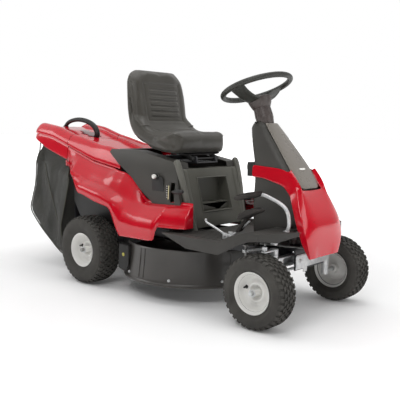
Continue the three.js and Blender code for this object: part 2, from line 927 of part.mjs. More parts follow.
const HEIGHT_PIVOT = [40, 500]; // x and z of the height lever's pivot
const LEVER_Y = -226;
function heightLever() {
  const [x, z] = HEIGHT_PIVOT;
  const hub = rod([x, LEVER_Y - 4, z], [x, LEVER_Y + 22, z], 16, 16);
  const arm = tube(
    [
      [x, LEVER_Y, z],
      [100, LEVER_Y, 512],
      [150, LEVER_Y - 10, 524],
      [176, -262, 532],
      [206, -272, 534],
    ],
    5,
    8,
    10,
  );
  const grip = rod([200, -272, 534], [262, -272, 540], 12, 12);
  return joined(hub, arm, grip);
}
place("height_lever", heightLever(), BLACK);

// ---------------------------------------------------------------- rear body
const BODY_FRONT_OUTLINE = [
  [-205, 745],
  [-226, 735],
  [-226, 700],
  [-262, 620],
  [-300, 560],
  [-355, 505],
  [-362, 450],
  [-362, 292],
  [362, 292],
  [362, 450],
  [355, 505],
  [300, 560],
  [262, 620],
  [226, 700],
  [226, 735],
  [205, 745],
];
function rearBody() {
  const side = [
    [-708, 728],
    [-352, 664],
    [-268, 646],
    [-148, 582],
    [-77, 527],
    [16, 466],
    [262, 480],
    [296, 366],
    [140, 352],
    [122, 296],
    [-102, 296],
    [-148, 369],
    [-182, 428],
    [-303, 452],
    [-395, 478],
    [-520, 482],
    [-600, 560],
    [-700, 640],
  ];
  const whole = prismY(side, -400, 400).intersect(prismX(BODY_FRONT_OUTLINE, -1200, 1200));
  const inner = BODY_FRONT_OUTLINE.map(([y, z]) => [y - Math.sign(y) * WALL, z - (z > 730 ? 4 : 0)]);
  inner[7][1] = inner[8][1] = 200;
  const hollow = prismY(
    [
      [-720, 726],
      [-352, 660],
      [-270, 642],
      [-150, 578],
      [-79, 523],
      [14, 462],
      [252, 473],
      [290, 366],
      [290, 200],
      [-720, 200],
    ],
    -400,
    400,
  ).intersect(prismX(inner, -1200, 1200));
  const well = box(-345, 400, -242, 242, 200, 760);
  const front = box(8, 400, -256, 256, 200, 700);
  return cut(whole, hollow, well, front);
}
place("rear_body", rearBody(), RED);

// ---------------------------------------------------------------- grass collector
const COLLECTOR_FRONT = -712;
const COVER_OUTLINE = [
  [-226, 0],
  [-222, 30],
  [-150, 52],
  [0, 62],
  [150, 52],
  [222, 30],
  [226, 0],
  [250, -90],
  [-250, -90],
];

// Cross-sections at set distances along x, joined one after the other.
function loft(sections) {
  const n = sections[0].length;
  const points = sections.flat();
  const middle = (s) => s.reduce((a, p) => a.map((v, i) => v + p[i] / s.length), [0, 0, 0]);
  points.push(middle(sections[0]), middle(sections.at(-1)));
  const index = [];
  for (let s = 0; s < sections.length - 1; s++)
    for (let i = 0; i < n; i++) {
      const j = (i + 1) % n;
      const [a, b, c, d] = [s * n + i, s * n + j, (s + 1) * n + j, (s + 1) * n + i];
      index.push(a, b, c, a, c, d);
    }
  const last = (sections.length - 1) * n;
  for (let i = 0; i < n; i++) {
    const j = (i + 1) % n;
    index.push(points.length - 2, j, i, points.length - 1, last + i, last + j);
  }
  const g = new THREE.BufferGeometry();
  g.setAttribute("position", new THREE.BufferAttribute(new Float32Array(points.flat()), 3));
  g.setIndex(index);
  return solid(g);
}

const coverTopAt = (x) => 728 + (COLLECTOR_FRONT - x) * 0.24;
function collectorCover() {
  const sectionAt = (x, grow, lower) =>
    COVER_OUTLINE.map(([y, z]) => {
      const side = Math.sign(y);
      const bottom = z === -90 ? lower : coverTopAt(x) + z;
      return [x, y - side * grow, bottom - (z > 0 ? grow : 0)];
    });
  const lowerAt = (x) => (x > -740 ? 636 : x > -1000 ? 636 + (-712 - x) * 0.4 : 752);
  const stations = [COLLECTOR_FRONT, -860, -980, -1045, -1061];
  const outer = loft(
    stations.map((x, i) => sectionAt(x, i === 4 ? 26 : 0, i === 4 ? 775 : lowerAt(x))),
  );
  const inner = loft(
    [COLLECTOR_FRONT + 10, -860, -980, -1041, -1057].map((x, i) =>
      sectionAt(x, WALL + (i === 4 ? 26 : 0), 500),
    ),
  );
  return cut(outer, inner);
}
place("collector_cover", collectorCover(), RED);

function collectorHandle() {
  return tube(
    [
      [-1030, 0, 880],
      [-985, 0, 889],
      [-900, 0, 897],
      [-800, 0, 880],
      [-740, 0, 848],
      [-720, 0, 806],
    ],
    10,
    8,
    14,
  );
}
place("collector_handle", collectorHandle(), BLACK);

const BAG_HALF = 262;
function bagOutline(grow) {
  return [
    [-716 + grow, 622 - grow],
    [-716 + grow, 540],
    [-735 + grow, 300],
    [-722 + grow, 110 - grow],
    [-760, 92 + grow],
    [-850, 150 + grow],
    [-1020 + grow, 300 + grow],
    [-1045 + grow, 355],
    [-1000 + grow, 490],
    [-985 + grow, 650],
    [-985 + grow, 735 - grow],
  ];
}
function collectorBag() {
  const front = [
    [-236, 800],
    [-BAG_HALF, 560],
    [-BAG_HALF, 260],
    [-236, 60],
    [236, 60],
    [BAG_HALF, 260],
    [BAG_HALF, 560],
    [236, 800],
  ];
  const whole = prismY(bagOutline(0), -300, 300).intersect(prismX(front, -1200, 0));
  const inside = prismY(bagOutline(8), -300, 300).intersect(prismX(inset(front, 8), -1200, 0));
  const mouth = box(-800, -600, 10, 160, 320, 500);
  return cut(whole, inside, mouth);
}
place("collector_bag", collectorBag(), CLOTH);

// ---------------------------------------------------------------- power train
function engineBlock() {
  const crankcase = box(-165, 45, -90, 90, PLATE_TOP + GAP, 440);
  const fins = [0, 1, 2, 3, 4].map((i) => box(-150, 20, 90 - 4 + i * 14, 90 + 4 + i * 14, 330, 430));
  const barrel = box(-135, 5, 60, 150, 342, 418);
  return joined(crankcase, barrel, ...fins);
}
place("engine_block", engineBlock(), CAST);
place(
  "engine_shroud",
  turned(
    [
      [0, 441],
      [112, 441],
      [120, 452],
      [120, 500],
      [96, 540],
      [40, 552],
      [0, 552],
    ],
    20,
  ).translate(ENGINE.x, 0, 0),
  BLACK,
);
place(
  "muffler",
  joined(rod([80, 110, 372], [80, 190, 372], 34, 16), rod([47, 130, 372], [60, 130, 372], 12, 12)),
  STEEL,
);

// Grooved pulley: groove floor, flanges, and the middle of each groove.
function pulley(floor, flange, grooves, bore) {
  const half = 6;
  const points = [[bore, grooves[0] - half - 5]];
  for (const z of grooves)
    points.push(
      [flange, z - half - 5],
      [flange, z - half - 1],
      [floor, z - half],
      [floor, z + half],
      [flange, z + half + 1],
      [flange, z + half + 5],
    );
  points.push([bore, grooves.at(-1) + half + 5]);
  return turned(points, 16);
}
const BELT_HIGH = 268;
const BELT_LOW = 244;
const ENGINE_PULLEY_R = 42;
const SPINDLE_PULLEY_R = 55;
const GEARBOX_PULLEY_R = 58;
place(
  "engine_pulley",
  joined(
    cut(
      pulley(ENGINE_PULLEY_R, 51, [BELT_LOW, BELT_HIGH], 8).translate(ENGINE.x, ENGINE.y, 0),
      rod([ENGINE.x, 0, 200], [ENGINE.x, 0, 226], 9, 12),
    ),
    rod([ENGINE.x, 0, 236], [ENGINE.x, 0, RAIL.z1 - 2], 12, 12),
  ),
  STEEL,
);
place(
  "gearbox_pulley",
  joined(
    pulley(GEARBOX_PULLEY_R, 66, [BELT_HIGH], 8).translate(GEARBOX.x, GEARBOX.y, 0),
    rod([GEARBOX.x, GEARBOX.y, 252], [GEARBOX.x, GEARBOX.y, 284], 9, 12),
  ),
  STEEL,
);

// A belt's loop round two pulleys: arcs joined by the outer tangents.
function beltLoop(a, ra, b, rb, z, thick, high) {
  const path = (grow) => {
    const dx = b.x - a.x;
    const dy = b.y - a.y;
    const towards = Math.atan2(dy, dx);
    const lean = Math.acos((ra - rb) / Math.hypot(dx, dy));
    return [
      ...arc(a.x, a.y, ra + grow, towards + lean, towards + 2 * Math.PI - lean, 10),
      ...arc(b.x, b.y, rb + grow, towards - lean, towards + lean, 10),
    ];
  };
  return cut(prismZ(path(thick), z - high / 2, z + high / 2), prismZ(path(0), z - high, z + high));
}
const CLEAR = 1.4;
place(
  "drive_belt",
  beltLoop(ENGINE, ENGINE_PULLEY_R + CLEAR, GEARBOX, GEARBOX_PULLEY_R + CLEAR, BELT_HIGH, 8, 10),
  RUBBER,
);
place(
  "blade_belt",
  beltLoop(ENGINE, ENGINE_PULLEY_R + CLEAR, SPINDLE, SPINDLE_PULLEY_R + CLEAR, BELT_LOW, 8, 10),
  RUBBER,
);

function gearbox() {
  const housing = box(REAR_X - 62, REAR_X + 62, -138, 8, 128, 250);
  const tubes = rod([REAR_X, -232, 182], [REAR_X, 232, 182], 24, 16);
  const hangers = [-1, 1].map((s) => box(REAR_X - 14, REAR_X + 14, s * 162 - 7, s * 162 + 7, 190, 279));
  const bore = rod([REAR_X, -260, 182], [REAR_X, 260, 182], SHAFT_R + 1, 16);
  const input = rod([GEARBOX.x, GEARBOX.y, 240], [GEARBOX.x, GEARBOX.y, 300], 11, 12);
  return cut(joined(housing, tubes, ...hangers), bore, input.intersect(box(-600, 0, -200, 100, 246, 300)));
}
place("gearbox", gearbox(), CAST);

function fuelTank() {
  const body = box(-330, -195, -150, 150, 500, 596);
  const neckTube = rod([-262, 90, 590], [-262, 90, 612], 20, 16);
  return joined(body, neckTube);
}
place("fuel_tank", fuelTank(), BLACK);
place("fuel_cap", rod([-262, 90, 612.6], [-262, 90, 630], 26, 12), BLACK);
place("battery", box(62, 146, -90, 90, 400, 560), BLACK);

// ---------------------------------------------------------------- cutting deck
function deckShell() {
  const top = DECK_Z + 118;
  const outer = [
    [42, top],
    [322, top],
    [356, top - 22],
    [368, top - 60],
    [DECK_R - 2, DECK_Z + 24],
    [DECK_R + 3, DECK_Z],
  ];
  const inner = [
    [DECK_R, DECK_Z],
    [DECK_R - 5, DECK_Z + 24],
    [365, top - 61],
    [353, top - 24],
    [320, top - 3],
    [42, top - 3],
  ];
  const pan = turned([...outer, ...inner], 24).translate(SPINDLE.x, SPINDLE.y, 0);
  const exit = box(-420, -180, 34, 134, DECK_Z + 26, top - 10);
  return cut(pan, exit);
}
place("deck_shell", deckShell(), DECK_PAINT);

const BLADE_Z = 118;
place(
  "cutting_blade",
  cut(
    joined(
      box(SPINDLE.x - 325, SPINDLE.x + 325, -28, 28, BLADE_Z, BLADE_Z + 5),
      prismY(
        [
          [SPINDLE.x - 325, BLADE_Z],
          [SPINDLE.x - 230, BLADE_Z],
          [SPINDLE.x - 240, BLADE_Z + 5],
          [SPINDLE.x - 325, BLADE_Z + 22],
        ],
        16,
        28,
      ),
      prismY(
        [
          [SPINDLE.x + 325, BLADE_Z],
          [SPINDLE.x + 230, BLADE_Z],
          [SPINDLE.x + 240, BLADE_Z + 5],
          [SPINDLE.x + 325, BLADE_Z + 22],
        ],
        -28,
        -16,
      ),
    ),
    rod([SPINDLE.x, 0, 100], [SPINDLE.x, 0, 140], 9, 12),
  ),
  STEEL,
);
place(
  "blade_spindle",
  joined(
    rod([SPINDLE.x, 0, BLADE_Z + 6], [SPINDLE.x, 0, 300], 12, 12),
    rod([SPINDLE.x, 0, BLADE_Z - 10], [SPINDLE.x, 0, BLADE_Z + 8], 8, 12),
    rod([SPINDLE.x, 0, BLADE_Z - 14], [SPINDLE.x, 0, BLADE_Z - 2], 16, 6),
    rod([SPINDLE.x, 0, 228], [SPINDLE.x, 0, 292], SPINDLE_PULLEY_R, 20),
  ),
  STEEL,
);
place(
  "spindle_housing",
  turned(
    [
      [14, 136],
      [34, 136],
      [34, 150],
      [26, 160],
      [26, 196],
      [37, 199],
      [37, 204],
      [64, 204],
      [64, 210],
      [30, 212],
      [24, 225],
      [14, 225],
    ],
    20,
  ).translate(SPINDLE.x, 0, 0),
  CAST,
);

function grassChute() {
  const lower = [
    [-300, 92],
    [-345, 212],
    [-430, 226],
    [-690, 342],
  ];
  const upper = [
    [-690, 482],
    [-430, 350],
    [-330, 280],
    [-290, 225],
  ];
  const outside = prismY([...lower, ...upper], 28, 140);
  const passage = prismY(
    [
      [-250, 80],
      [-296, 92],
      [-341, 216],
      [-431, 230],
      [-710, 354],
      [-710, 486],
      [-428, 347],
      [-327, 276],
      [-240, 200],
    ],
    31,
    137,
  );
  return cut(outside, passage);
}
place("grass_chute", grassChute(), BLACK);

export default mower;
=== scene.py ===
import json
import math
from contextlib import contextmanager

import bmesh
import bpy
from mathutils import Matrix, Vector, noise


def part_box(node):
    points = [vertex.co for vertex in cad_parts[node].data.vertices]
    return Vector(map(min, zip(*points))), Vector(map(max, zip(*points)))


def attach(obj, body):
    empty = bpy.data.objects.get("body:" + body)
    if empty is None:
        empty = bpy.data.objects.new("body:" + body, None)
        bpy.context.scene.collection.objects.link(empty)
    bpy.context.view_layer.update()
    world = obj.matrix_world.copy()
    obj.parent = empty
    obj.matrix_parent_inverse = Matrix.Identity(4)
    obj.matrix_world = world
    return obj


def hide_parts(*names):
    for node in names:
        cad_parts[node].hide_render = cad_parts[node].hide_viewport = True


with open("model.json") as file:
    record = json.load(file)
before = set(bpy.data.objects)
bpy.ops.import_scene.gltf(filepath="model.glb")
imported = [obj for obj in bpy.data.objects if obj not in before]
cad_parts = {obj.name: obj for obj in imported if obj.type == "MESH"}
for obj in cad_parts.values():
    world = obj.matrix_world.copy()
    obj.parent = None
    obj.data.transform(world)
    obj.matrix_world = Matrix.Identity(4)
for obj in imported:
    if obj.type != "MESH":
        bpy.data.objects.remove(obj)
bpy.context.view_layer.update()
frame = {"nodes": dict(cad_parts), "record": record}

MM = 0.001
FRONT_AXLE = 750


def middle(node):
    low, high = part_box(node)
    return (Vector(low) + Vector(high)) / 2


SHIFT = middle("axle_beam").x - FRONT_AXLE * MM


def at(x, y, z):
    return Vector((x * MM + SHIFT, y * MM, z * MM))


def blend_between(table, x):
    """The value at x of a line through the table's (x, value) points."""
    if x <= table[0][0]:
        return table[0][1]
    for (x0, v0), (x1, v1) in zip(table, table[1:]):
        if x <= x1:
            return v0 + (v1 - v0) * (x - x0) / (x1 - x0)
    return table[-1][1]


# ---------------------------------------------------------------- materials
def linear(code):
    """The linear colour of an sRGB hex code."""
    parts = [int(code[i : i + 2], 16) / 255 for i in (0, 2, 4)]
    return tuple(c / 12.92 if c <= 0.04045 else ((c + 0.055) / 1.055) ** 2.4 for c in parts)


class Look:
    """A material under construction: a Principled shader with helpers for its inputs."""

    def __init__(self, name, rough, metal=0.0, coat=0.0, specular=0.5):
        self.material = bpy.data.materials.new(name)
        self.material.use_nodes = True
        self.tree = self.material.node_tree
        self.shader = self.tree.nodes["Principled BSDF"]
        self.shader.inputs["Roughness"].default_value = rough
        self.shader.inputs["Metallic"].default_value = metal
        self.shader.inputs["Coat Weight"].default_value = coat
        self.shader.inputs["Coat Roughness"].default_value = 0.06
        self.shader.inputs["Specular IOR Level"].default_value = specular
        self.place = self.tree.nodes.new("ShaderNodeTexCoord")

    def node(self, kind, **inputs):
        made = self.tree.nodes.new(kind)
        for name, value in inputs.items():
            made.inputs[name.replace("_", " ")].default_value = value
        return made

    def link(self, source, target):
        self.tree.links.new(source, target)

    def noise(self, scale, detail=4.0, stretch=(1, 1, 1)):
        mapping = self.node("ShaderNodeMapping")
        mapping.inputs["Scale"].default_value = stretch
        self.link(self.place.outputs["Object"], mapping.inputs["Vector"])
        made = self.node("ShaderNodeTexNoise", Scale=scale, Detail=detail)
        self.link(mapping.outputs["Vector"], made.inputs["Vector"])
        return made.outputs["Fac"]

    def ramp(self, source, stops):
        made = self.tree.nodes.new("ShaderNodeValToRGB")
        elements = made.color_ramp.elements
        while len(elements) < len(stops):
            elements.new(0.5)
        for element, (position, colour) in zip(elements, stops):
            element.position = position
            element.color = (*colour, 1)
        self.link(source, made.inputs["Fac"])
        return made.outputs["Color"]

    def colour(self, dark, light, scale, detail=5.0):
        self.link(
            self.ramp(self.noise(scale, detail), [(0.32, linear(dark)), (0.68, linear(light))]),
            self.shader.inputs["Base Color"],
        )

    def roughness(self, low, high, scale):
        made = self.node("ShaderNodeMapRange")
        made.inputs["To Min"].default_value = low
        made.inputs["To Max"].default_value = high
        self.link(self.noise(scale, 3.0), made.inputs["Value"])
        self.link(made.outputs["Result"], self.shader.inputs["Roughness"])

    def bump(self, height, strength, distance, edge=0.0):
        made = self.node("ShaderNodeBump", Strength=strength, Distance=distance)
        self.link(height, made.inputs["Height"])
        if edge:
            rounded = self.node("ShaderNodeBevel", Radius=edge)
            self.link(rounded.outputs["Normal"], made.inputs["Normal"])
        self.link(made.outputs["Normal"], self.shader.inputs["Normal"])


def gloss_red(name, dark, light):
    look = Look(name, 0.22, coat=0.3, specular=0.45)
    look.colour(dark, light, 2.2)
    look.roughness(0.13, 0.21, 9.0)
    look.bump(look.noise(210.0, 2.0), 0.05, 0.0004, edge=0.0012)
    return look.material


def moulded(name, dark, light, rough, grain=900.0, strength=0.22, edge=0.001):
    look = Look(name, rough)
    look.colour(dark, light, 6.0)
    look.roughness(rough - 0.06, rough + 0.08, 24.0)
    look.bump(look.noise(grain, 3.0), strength, 0.0006, edge=edge)
    return look.material


def painted(name, dark, light, rough, metal=0.0, coat=0.15):
    look = Look(name, rough, metal=metal, coat=coat)
    look.colour(dark, light, 5.0)
    look.roughness(rough - 0.05, rough + 0.09, 16.0)
    look.bump(look.noise(320.0, 3.0), 0.09, 0.0005, edge=0.001)
    return look.material


def plated(name, dark, light, rough, stretch=(1, 1, 1), metal=0.85):
    look = Look(name, rough, metal=metal)
    look.link(
        look.ramp(look.noise(70.0, 6.0, stretch), [(0.3, linear(dark)), (0.7, linear(light))]),
        look.shader.inputs["Base Color"],
    )
    look.roughness(rough - 0.08, rough + 0.12, 45.0)
    look.bump(look.noise(480.0, 2.0, stretch), 0.12, 0.0003, edge=0.0008)
    return look.material


def rubber(name, dark, light):
    look = Look(name, 0.78, specular=0.35)
    look.colour(dark, light, 14.0, detail=8.0)
    look.roughness(0.68, 0.9, 30.0)
    look.bump(look.noise(620.0, 4.0), 0.3, 0.0006, edge=0.0008)
    return look.material


def vinyl():
    look = Look("seat_vinyl", 0.5)
    look.colour("36332d", "403d36", 4.0)
    look.roughness(0.34, 0.48, 18.0)
    look.shader.inputs["Sheen Weight"].default_value = 0.12
    cells = look.node("ShaderNodeTexVoronoi", Scale=520.0)
    cells.feature = "DISTANCE_TO_EDGE"
    look.link(look.place.outputs["Object"], cells.inputs["Vector"])
    look.bump(cells.outputs["Distance"], 0.35, 0.0008)
    return look.material


def cloth():
    look = Look("bag_cloth", 0.88, specular=0.25)
    look.colour("262621", "32312b", 9.0, detail=7.0)
    look.shader.inputs["Sheen Weight"].default_value = 0.25
    waves = []
    for direction in ("X", "Z"):
        wave = look.node("ShaderNodeTexWave", Scale=340.0, Distortion=0.4)
        wave.bands_direction = direction
        look.link(look.place.outputs["Object"], wave.inputs["Vector"])
        waves.append(wave.outputs["Fac"])
    weave = look.node("ShaderNodeMath")
    weave.operation = "MAXIMUM"
    look.link(waves[0], weave.inputs[0])
    look.link(waves[1], weave.inputs[1])
    look.bump(weave.outputs["Value"], 0.5, 0.0008)
    return look.material


RED = gloss_red("gloss_red", "bf001a", "cb0120")
# Darker red used only as painted shade in the hand scoop under the collector's handle.
RECESS_SHADE_RED = gloss_red("painted_shade_red", "5c0010", "6c0414")
DARK = moulded("dark_moulding", "35332f", "3f3d38", 0.48)
FOOT = moulded("footboard_moulding", "34322f", "3e3c38", 0.55)
GREY = moulded("grey_moulding", "504f47", "5a5951", 0.5)
CORNER = moulded("corner_moulding", "5f5e57", "6a6961", 0.45)
INSERT = moulded("insert_moulding", "746e67", "7f7971", 0.28, grain=1200.0, strength=0.08)
BLACK = moulded("black_moulding", "1d1d1c", "272625", 0.55)
BROWN = moulded("neck_moulding", "453d3a", "514845", 0.42)
WHEEL_GRIP = moulded("wheel_grip", "2b2c28", "373732", 0.48, grain=700.0)
WHITE = moulded("white_moulding", "e6e5df", "f2f1ec", 0.3, grain=600.0, strength=0.06)
PAD_RUBBER = rubber("pedal_rubber", "2f2c2a", "3c3835")
TYRE_RUBBER = rubber("tyre_rubber", "3d3b38", "4b4945")
BELT = rubber("belt_rubber", "1a1a1a", "242424")
RIM_PAINT = painted("rim_paint", "dcdbd7", "eae9e5", 0.34)
DECK_PAINT = painted("deck_paint", "3c3936", "474441", 0.36)
FRAME_PAINT = painted("frame_paint", "252527", "303033", 0.45)
ZINC = plated("zinc_plate", "c0c2c4", "dededd", 0.3, metal=0.35)
STEEL = plated("machined_steel", "8f8f8d", "b3b2af", 0.38, stretch=(1, 1, 6))
ALLOY = plated("cast_alloy", "7a7b7d", "9a9b9c", 0.55)
VINYL = vinyl()
CLOTH = cloth()
PIPING = moulded("bag_piping", "47473f", "55544b", 0.7, grain=500.0)
SCALE_STRIP = moulded("scale_strip", "c9c08a", "dcd6b0", 0.4, grain=600.0, strength=0.05)
SPOT = moulded("yellow_dot", "a8a040", "bdb552", 0.45, grain=600.0, strength=0.05)

FINISHES = {
    "red_plastic": RED,
    "dark_plastic": DARK,
    "grey_plastic": GREY,
    "black_plastic": BLACK,
    "white_plastic": WHITE,
    "zinc_steel": ZINC,
    "steel": STEEL,
    "frame_paint": FRAME_PAINT,
    "deck_paint": DECK_PAINT,
    "rim_paint": RIM_PAINT,
    "cast_alloy": ALLOY,
    "tyre_rubber": TYRE_RUBBER,
    "belt_rubber": BELT,
    "seat_vinyl": VINYL,
    "bag_cloth": CLOTH,
}
for part in frame["record"]["subparts"]:
    node = frame["nodes"][part["node"]]
    node.data.materials.clear()
    node.data.materials.append(FINISHES[part["material_slot"]])


# ---------------------------------------------------------------- mesh helpers
def piece(name, mesh, look, body, parts=(), smooth=40):
    """A finished object: shaded, coloured, riding on a body and standing for CAD nodes."""
    mesh.name = name
    mesh.validate()
    made = bpy.data.objects.new(name, mesh)
    bpy.context.scene.collection.objects.link(made)
    mesh.materials.clear()
    mesh.materials.append(look)
    mesh.shade_smooth()
    if smooth:
        mesh.set_sharp_from_angle(angle=math.radians(smooth))
    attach(made, body)
    if parts:
        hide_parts(*parts)
    return made


def mesh_of(points, faces):
    mesh = bpy.data.meshes.new("mesh")
    mesh.from_pydata([tuple(p) for p in points], [], faces)
    mesh.validate()
    return mesh


def with_modifiers(mesh, *steps):
    """The mesh after its modifiers. Each step is (kind, {setting: value})."""
    holder = bpy.data.objects.new("holder", mesh)
    bpy.context.scene.collection.objects.link(holder)
    for kind, settings in steps:
        modifier = holder.modifiers.new(kind, kind)
        for key, value in settings.items():
            setattr(modifier, key, value)
    depsgraph = bpy.context.evaluated_depsgraph_get()
    result = bpy.data.meshes.new_from_object(holder.evaluated_get(depsgraph))
    bpy.data.objects.remove(holder)
    return result


@contextmanager
def editing(mesh):
    """The mesh as an editable bmesh, written back when the block ends."""
    work = bmesh.new()
    work.from_mesh(mesh)
    yield work
    work.to_mesh(mesh)
    work.free()


def facing_out(mesh):
    with editing(mesh) as work:
        bmesh.ops.remove_doubles(work, verts=work.verts, dist=0.00002)
        bmesh.ops.recalc_face_normals(work, faces=work.faces)
    return mesh


def cut_hole(mesh, low, high, sideways=1.0):
    """Removes the faces centred in a box, apart from those turned further sideways than given."""
    with editing(mesh) as work:
        gone = []
        for face in work.faces:
            c = face.calc_center_median()
            if all(low[i] < c[i] < high[i] for i in range(3)) and abs(face.normal.y) <= sideways:
                gone.append(face)
        bmesh.ops.delete(work, geom=gone, context="FACES")


def turns(count, start=0.0):
    """Angles evenly spaced round a full turn."""
    return [2 * math.pi * i / count + start for i in range(count)]


def merged(*meshes):
    work = bmesh.new()
    for mesh in meshes:
        work.from_mesh(mesh)
    result = bpy.data.meshes.new("merged")
    work.to_mesh(result)
    work.free()
    return result


def solidify(wall, offset=-1.0):
    return ("SOLIDIFY", {"thickness": wall * MM, "offset": offset})


def subdivide(levels=2):
    return ("SUBSURF", {"levels": levels, "render_levels": levels})


def bevel(width, segments=3, angle=30):
    limit = {"limit_method": "ANGLE", "angle_limit": math.radians(angle)}
    return ("BEVEL", {"width": width * MM, "segments": segments, **limit})


def eased(mesh, width, segments=2):
    """The mesh with its edges rounded."""
    return with_modifiers(mesh, bevel(width, segments))


def grid(rows, close_rows=False):
    """A mesh through rows of points of equal length."""
    width = len(rows[0])
    columns = width if close_rows else width - 1
    faces = []
    for i in range(len(rows) - 1):
        for j in range(columns):
            k = (j + 1) % width
            faces.append((i * width + j, i * width + k, (i + 1) * width + k, (i + 1) * width + j))
    return mesh_of([p for row in rows for p in row], faces)


def mirrored(row):
    """A row given from the right-hand edge to the middle, completed on the left."""
    return [at(*p) for p in row] + [at(x, -y, z) for x, y, z in reversed(row[:-1])]


def prism(outline, low, high, axis="z"):
    """An outline carried along an axis. Its points are (x, y) for z, (x, z) for y, (y, z) for x."""
    order = {
        "z": lambda a, b, h: at(a, b, h),
        "y": lambda a, b, h: at(a, h, b),
        "x": lambda a, b, h: at(h, a, b),
    }
    count = len(outline)
    points = [order[axis](a, b, h) for h in (low, high) for a, b in outline]
    faces = [tuple(range(count)), tuple(range(2 * count - 1, count - 1, -1))]
    for i in range(count):
        j = (i + 1) % count
        faces.append((i, j, count + j, count + i))
    return facing_out(mesh_of(points, faces))


def slab(x0, x1, y0, y1, z0, z1):
    return prism([(x0, y0), (x1, y0), (x1, y1), (x0, y1)], z0, z1)


def lathe(profile, centre, axis=(0, 0, 1), segments=64):
    """A [radius, height] profile in millimetres turned about an axis through centre."""
    turn = Vector((0, 0, 1)).rotation_difference(Vector(axis).normalized()).to_matrix()
    rings = []
    for a in turns(segments):
        ring = [Vector((r * math.cos(a), r * math.sin(a), h)) * MM for r, h in profile]
        rings.append([centre + turn @ p for p in ring])
    rings.append(rings[0])
    return facing_out(grid(rings))


def smooth_path(points, steps):
    """Points of a Catmull-Rom curve through the given ones."""
    ends = [points[0] * 2 - points[1], *points, points[-1] * 2 - points[-2]]
    out = []
    for a, b, c, d in zip(ends, ends[1:], ends[2:], ends[3:]):
        for i in range(steps):
            t = i / steps
            curve = (2 * a - 5 * b + 4 * c - d) * t * t + (3 * b - a - 3 * c + d) * t**3
            out.append(0.5 * (2 * b + (c - a) * t + curve))
    return [*out, points[-1]]


def tube(points, radius, steps=6, sides=14, flat=1.0):
    """A round bar along a smooth path, with domed ends. flat squeezes it across the path."""
    path = smooth_path([at(*p) for p in points], steps)
    r = radius * MM
    normal = None
    rows = []
    for i, p in enumerate(path):
        ahead = (path[min(i + 1, len(path) - 1)] - path[max(i - 1, 0)]).normalized()
        if normal is None:
            normal = ahead.orthogonal().normalized()
        normal = (normal - ahead * normal.dot(ahead)).normalized()
        across = ahead.cross(normal)
        ring = []
        for a in turns(sides):
            ring.append(p + (normal * math.cos(a) + across * math.sin(a) * flat) * r)
        if i == 0:
            rows.append([p - ahead * r * 0.5 + (q - p) * 0.5 for q in ring])
        rows.append(ring)
        if i == len(path) - 1:
            rows.append([p + ahead * r * 0.5 + (q - p) * 0.5 for q in ring])
    return capped(grid(rows, close_rows=True))


def capped(mesh):
    with editing(mesh) as work:
        edges = [e for e in work.edges if e.is_boundary]
        bmesh.ops.holes_fill(work, edges=edges, sides=0)
        bmesh.ops.recalc_face_normals(work, faces=work.faces)
    return mesh


def bolt(x, y, z, direction, size=7):
    """A hexagon flange bolt's head."""
    centre = at(x, y, z)
    wide = size * 1.35
    flange = [(0, 0), (wide, 0), (wide, 1.2), (size, 2.4), (0, 2.4)]
    head = [(0, 2), (size, 2), (size, 6), (size * 0.8, 7), (0, 7)]
    return merged(lathe(flange, centre, direction, 24), lathe(head, centre, direction, 6))


def softened(node, width, segments=3, angle=28):
    """A copy of a CAD node's mesh with its faces joined and its edges rounded."""
    source = frame["nodes"][node].data.copy()
    flat = math.radians(2)
    with editing(source) as work:
        bmesh.ops.remove_doubles(work, verts=work.verts, dist=0.00005)
        bmesh.ops.dissolve_limit(work, angle_limit=flat, verts=work.verts, edges=work.edges)
    shading = ("WEIGHTED_NORMAL", {"keep_sharp": True})
    return with_modifiers(source, bevel(width, segments, angle), shading)


# ---------------------------------------------------------------- wheels
LEFT = (0, 1, 0)
FRONT_RADIUS = 159
REAR_RADIUS = 182
BLOCK_FACES = [(4, 5, 6, 7), (0, 1, 5, 4), (1, 2, 6, 5), (2, 3, 7, 6), (3, 0, 4, 7), (3, 2, 1, 0)]


def tyre_mesh(centre, radius, half, lug, rows_of_lugs, pitches, bead):
    """A carcass with rows of raised tread blocks. Sizes in millimetres, centre in metres."""
    base = radius - lug
    profile = [
        (bead, half * 0.60),
        (bead + 14, half * 0.74),
        (base * 0.74, half * 0.97),
        (base * 0.84, half * 0.985),
        (base * 0.93, half * 0.90),
        (base * 0.985, half * 0.72),
        (base, half * 0.4),
        (base, 0),
    ]
    profile += [(r, -w) for r, w in reversed(profile[:-1])]
    groove = [(bead, half * 0.56), (bead + 20, half * 0.5)]
    inner = [(r, -w) for r, w in groove] + groove[::-1]
    carcass = lathe(profile + inner + profile[:1], centre, LEFT, 96)

    def skin(width):
        share = abs(width) / half
        shoulder = max(0.0, share - 0.45) / 0.55
        return base - (base * 0.085) * shoulder**2

    points, faces = [], []
    for row in range(rows_of_lugs):
        across = (row + 0.5) / rows_of_lugs * 2 - 1
        w_mid = across * half * 0.86
        w_half = half * 0.86 / rows_of_lugs * (0.74 if abs(across) < 0.7 else 0.98)
        slant = 0.5 if row % 2 else -0.5
        for k in range(pitches):
            angle = 2 * math.pi * (k + (row % 2) * 0.5) / pitches
            reach = math.pi / pitches * 0.66
            start = len(points)
            for level, shrink in ((-2.0, 1.0), (lug, 0.86)):
                for sw, sa in ((-1, -1), (1, -1), (1, 1), (-1, 1)):
                    w = w_mid + sw * w_half * shrink
                    a = angle + (sa * shrink + slant * sw * 0.4) * reach
                    r = (skin(w) + level) * MM
                    points.append(centre + Vector((r * math.cos(a), w * MM, r * math.sin(a))))
            faces += [tuple(start + corner for corner in face) for face in BLOCK_FACES]
    return merged(carcass, facing_out(mesh_of(points, faces)))


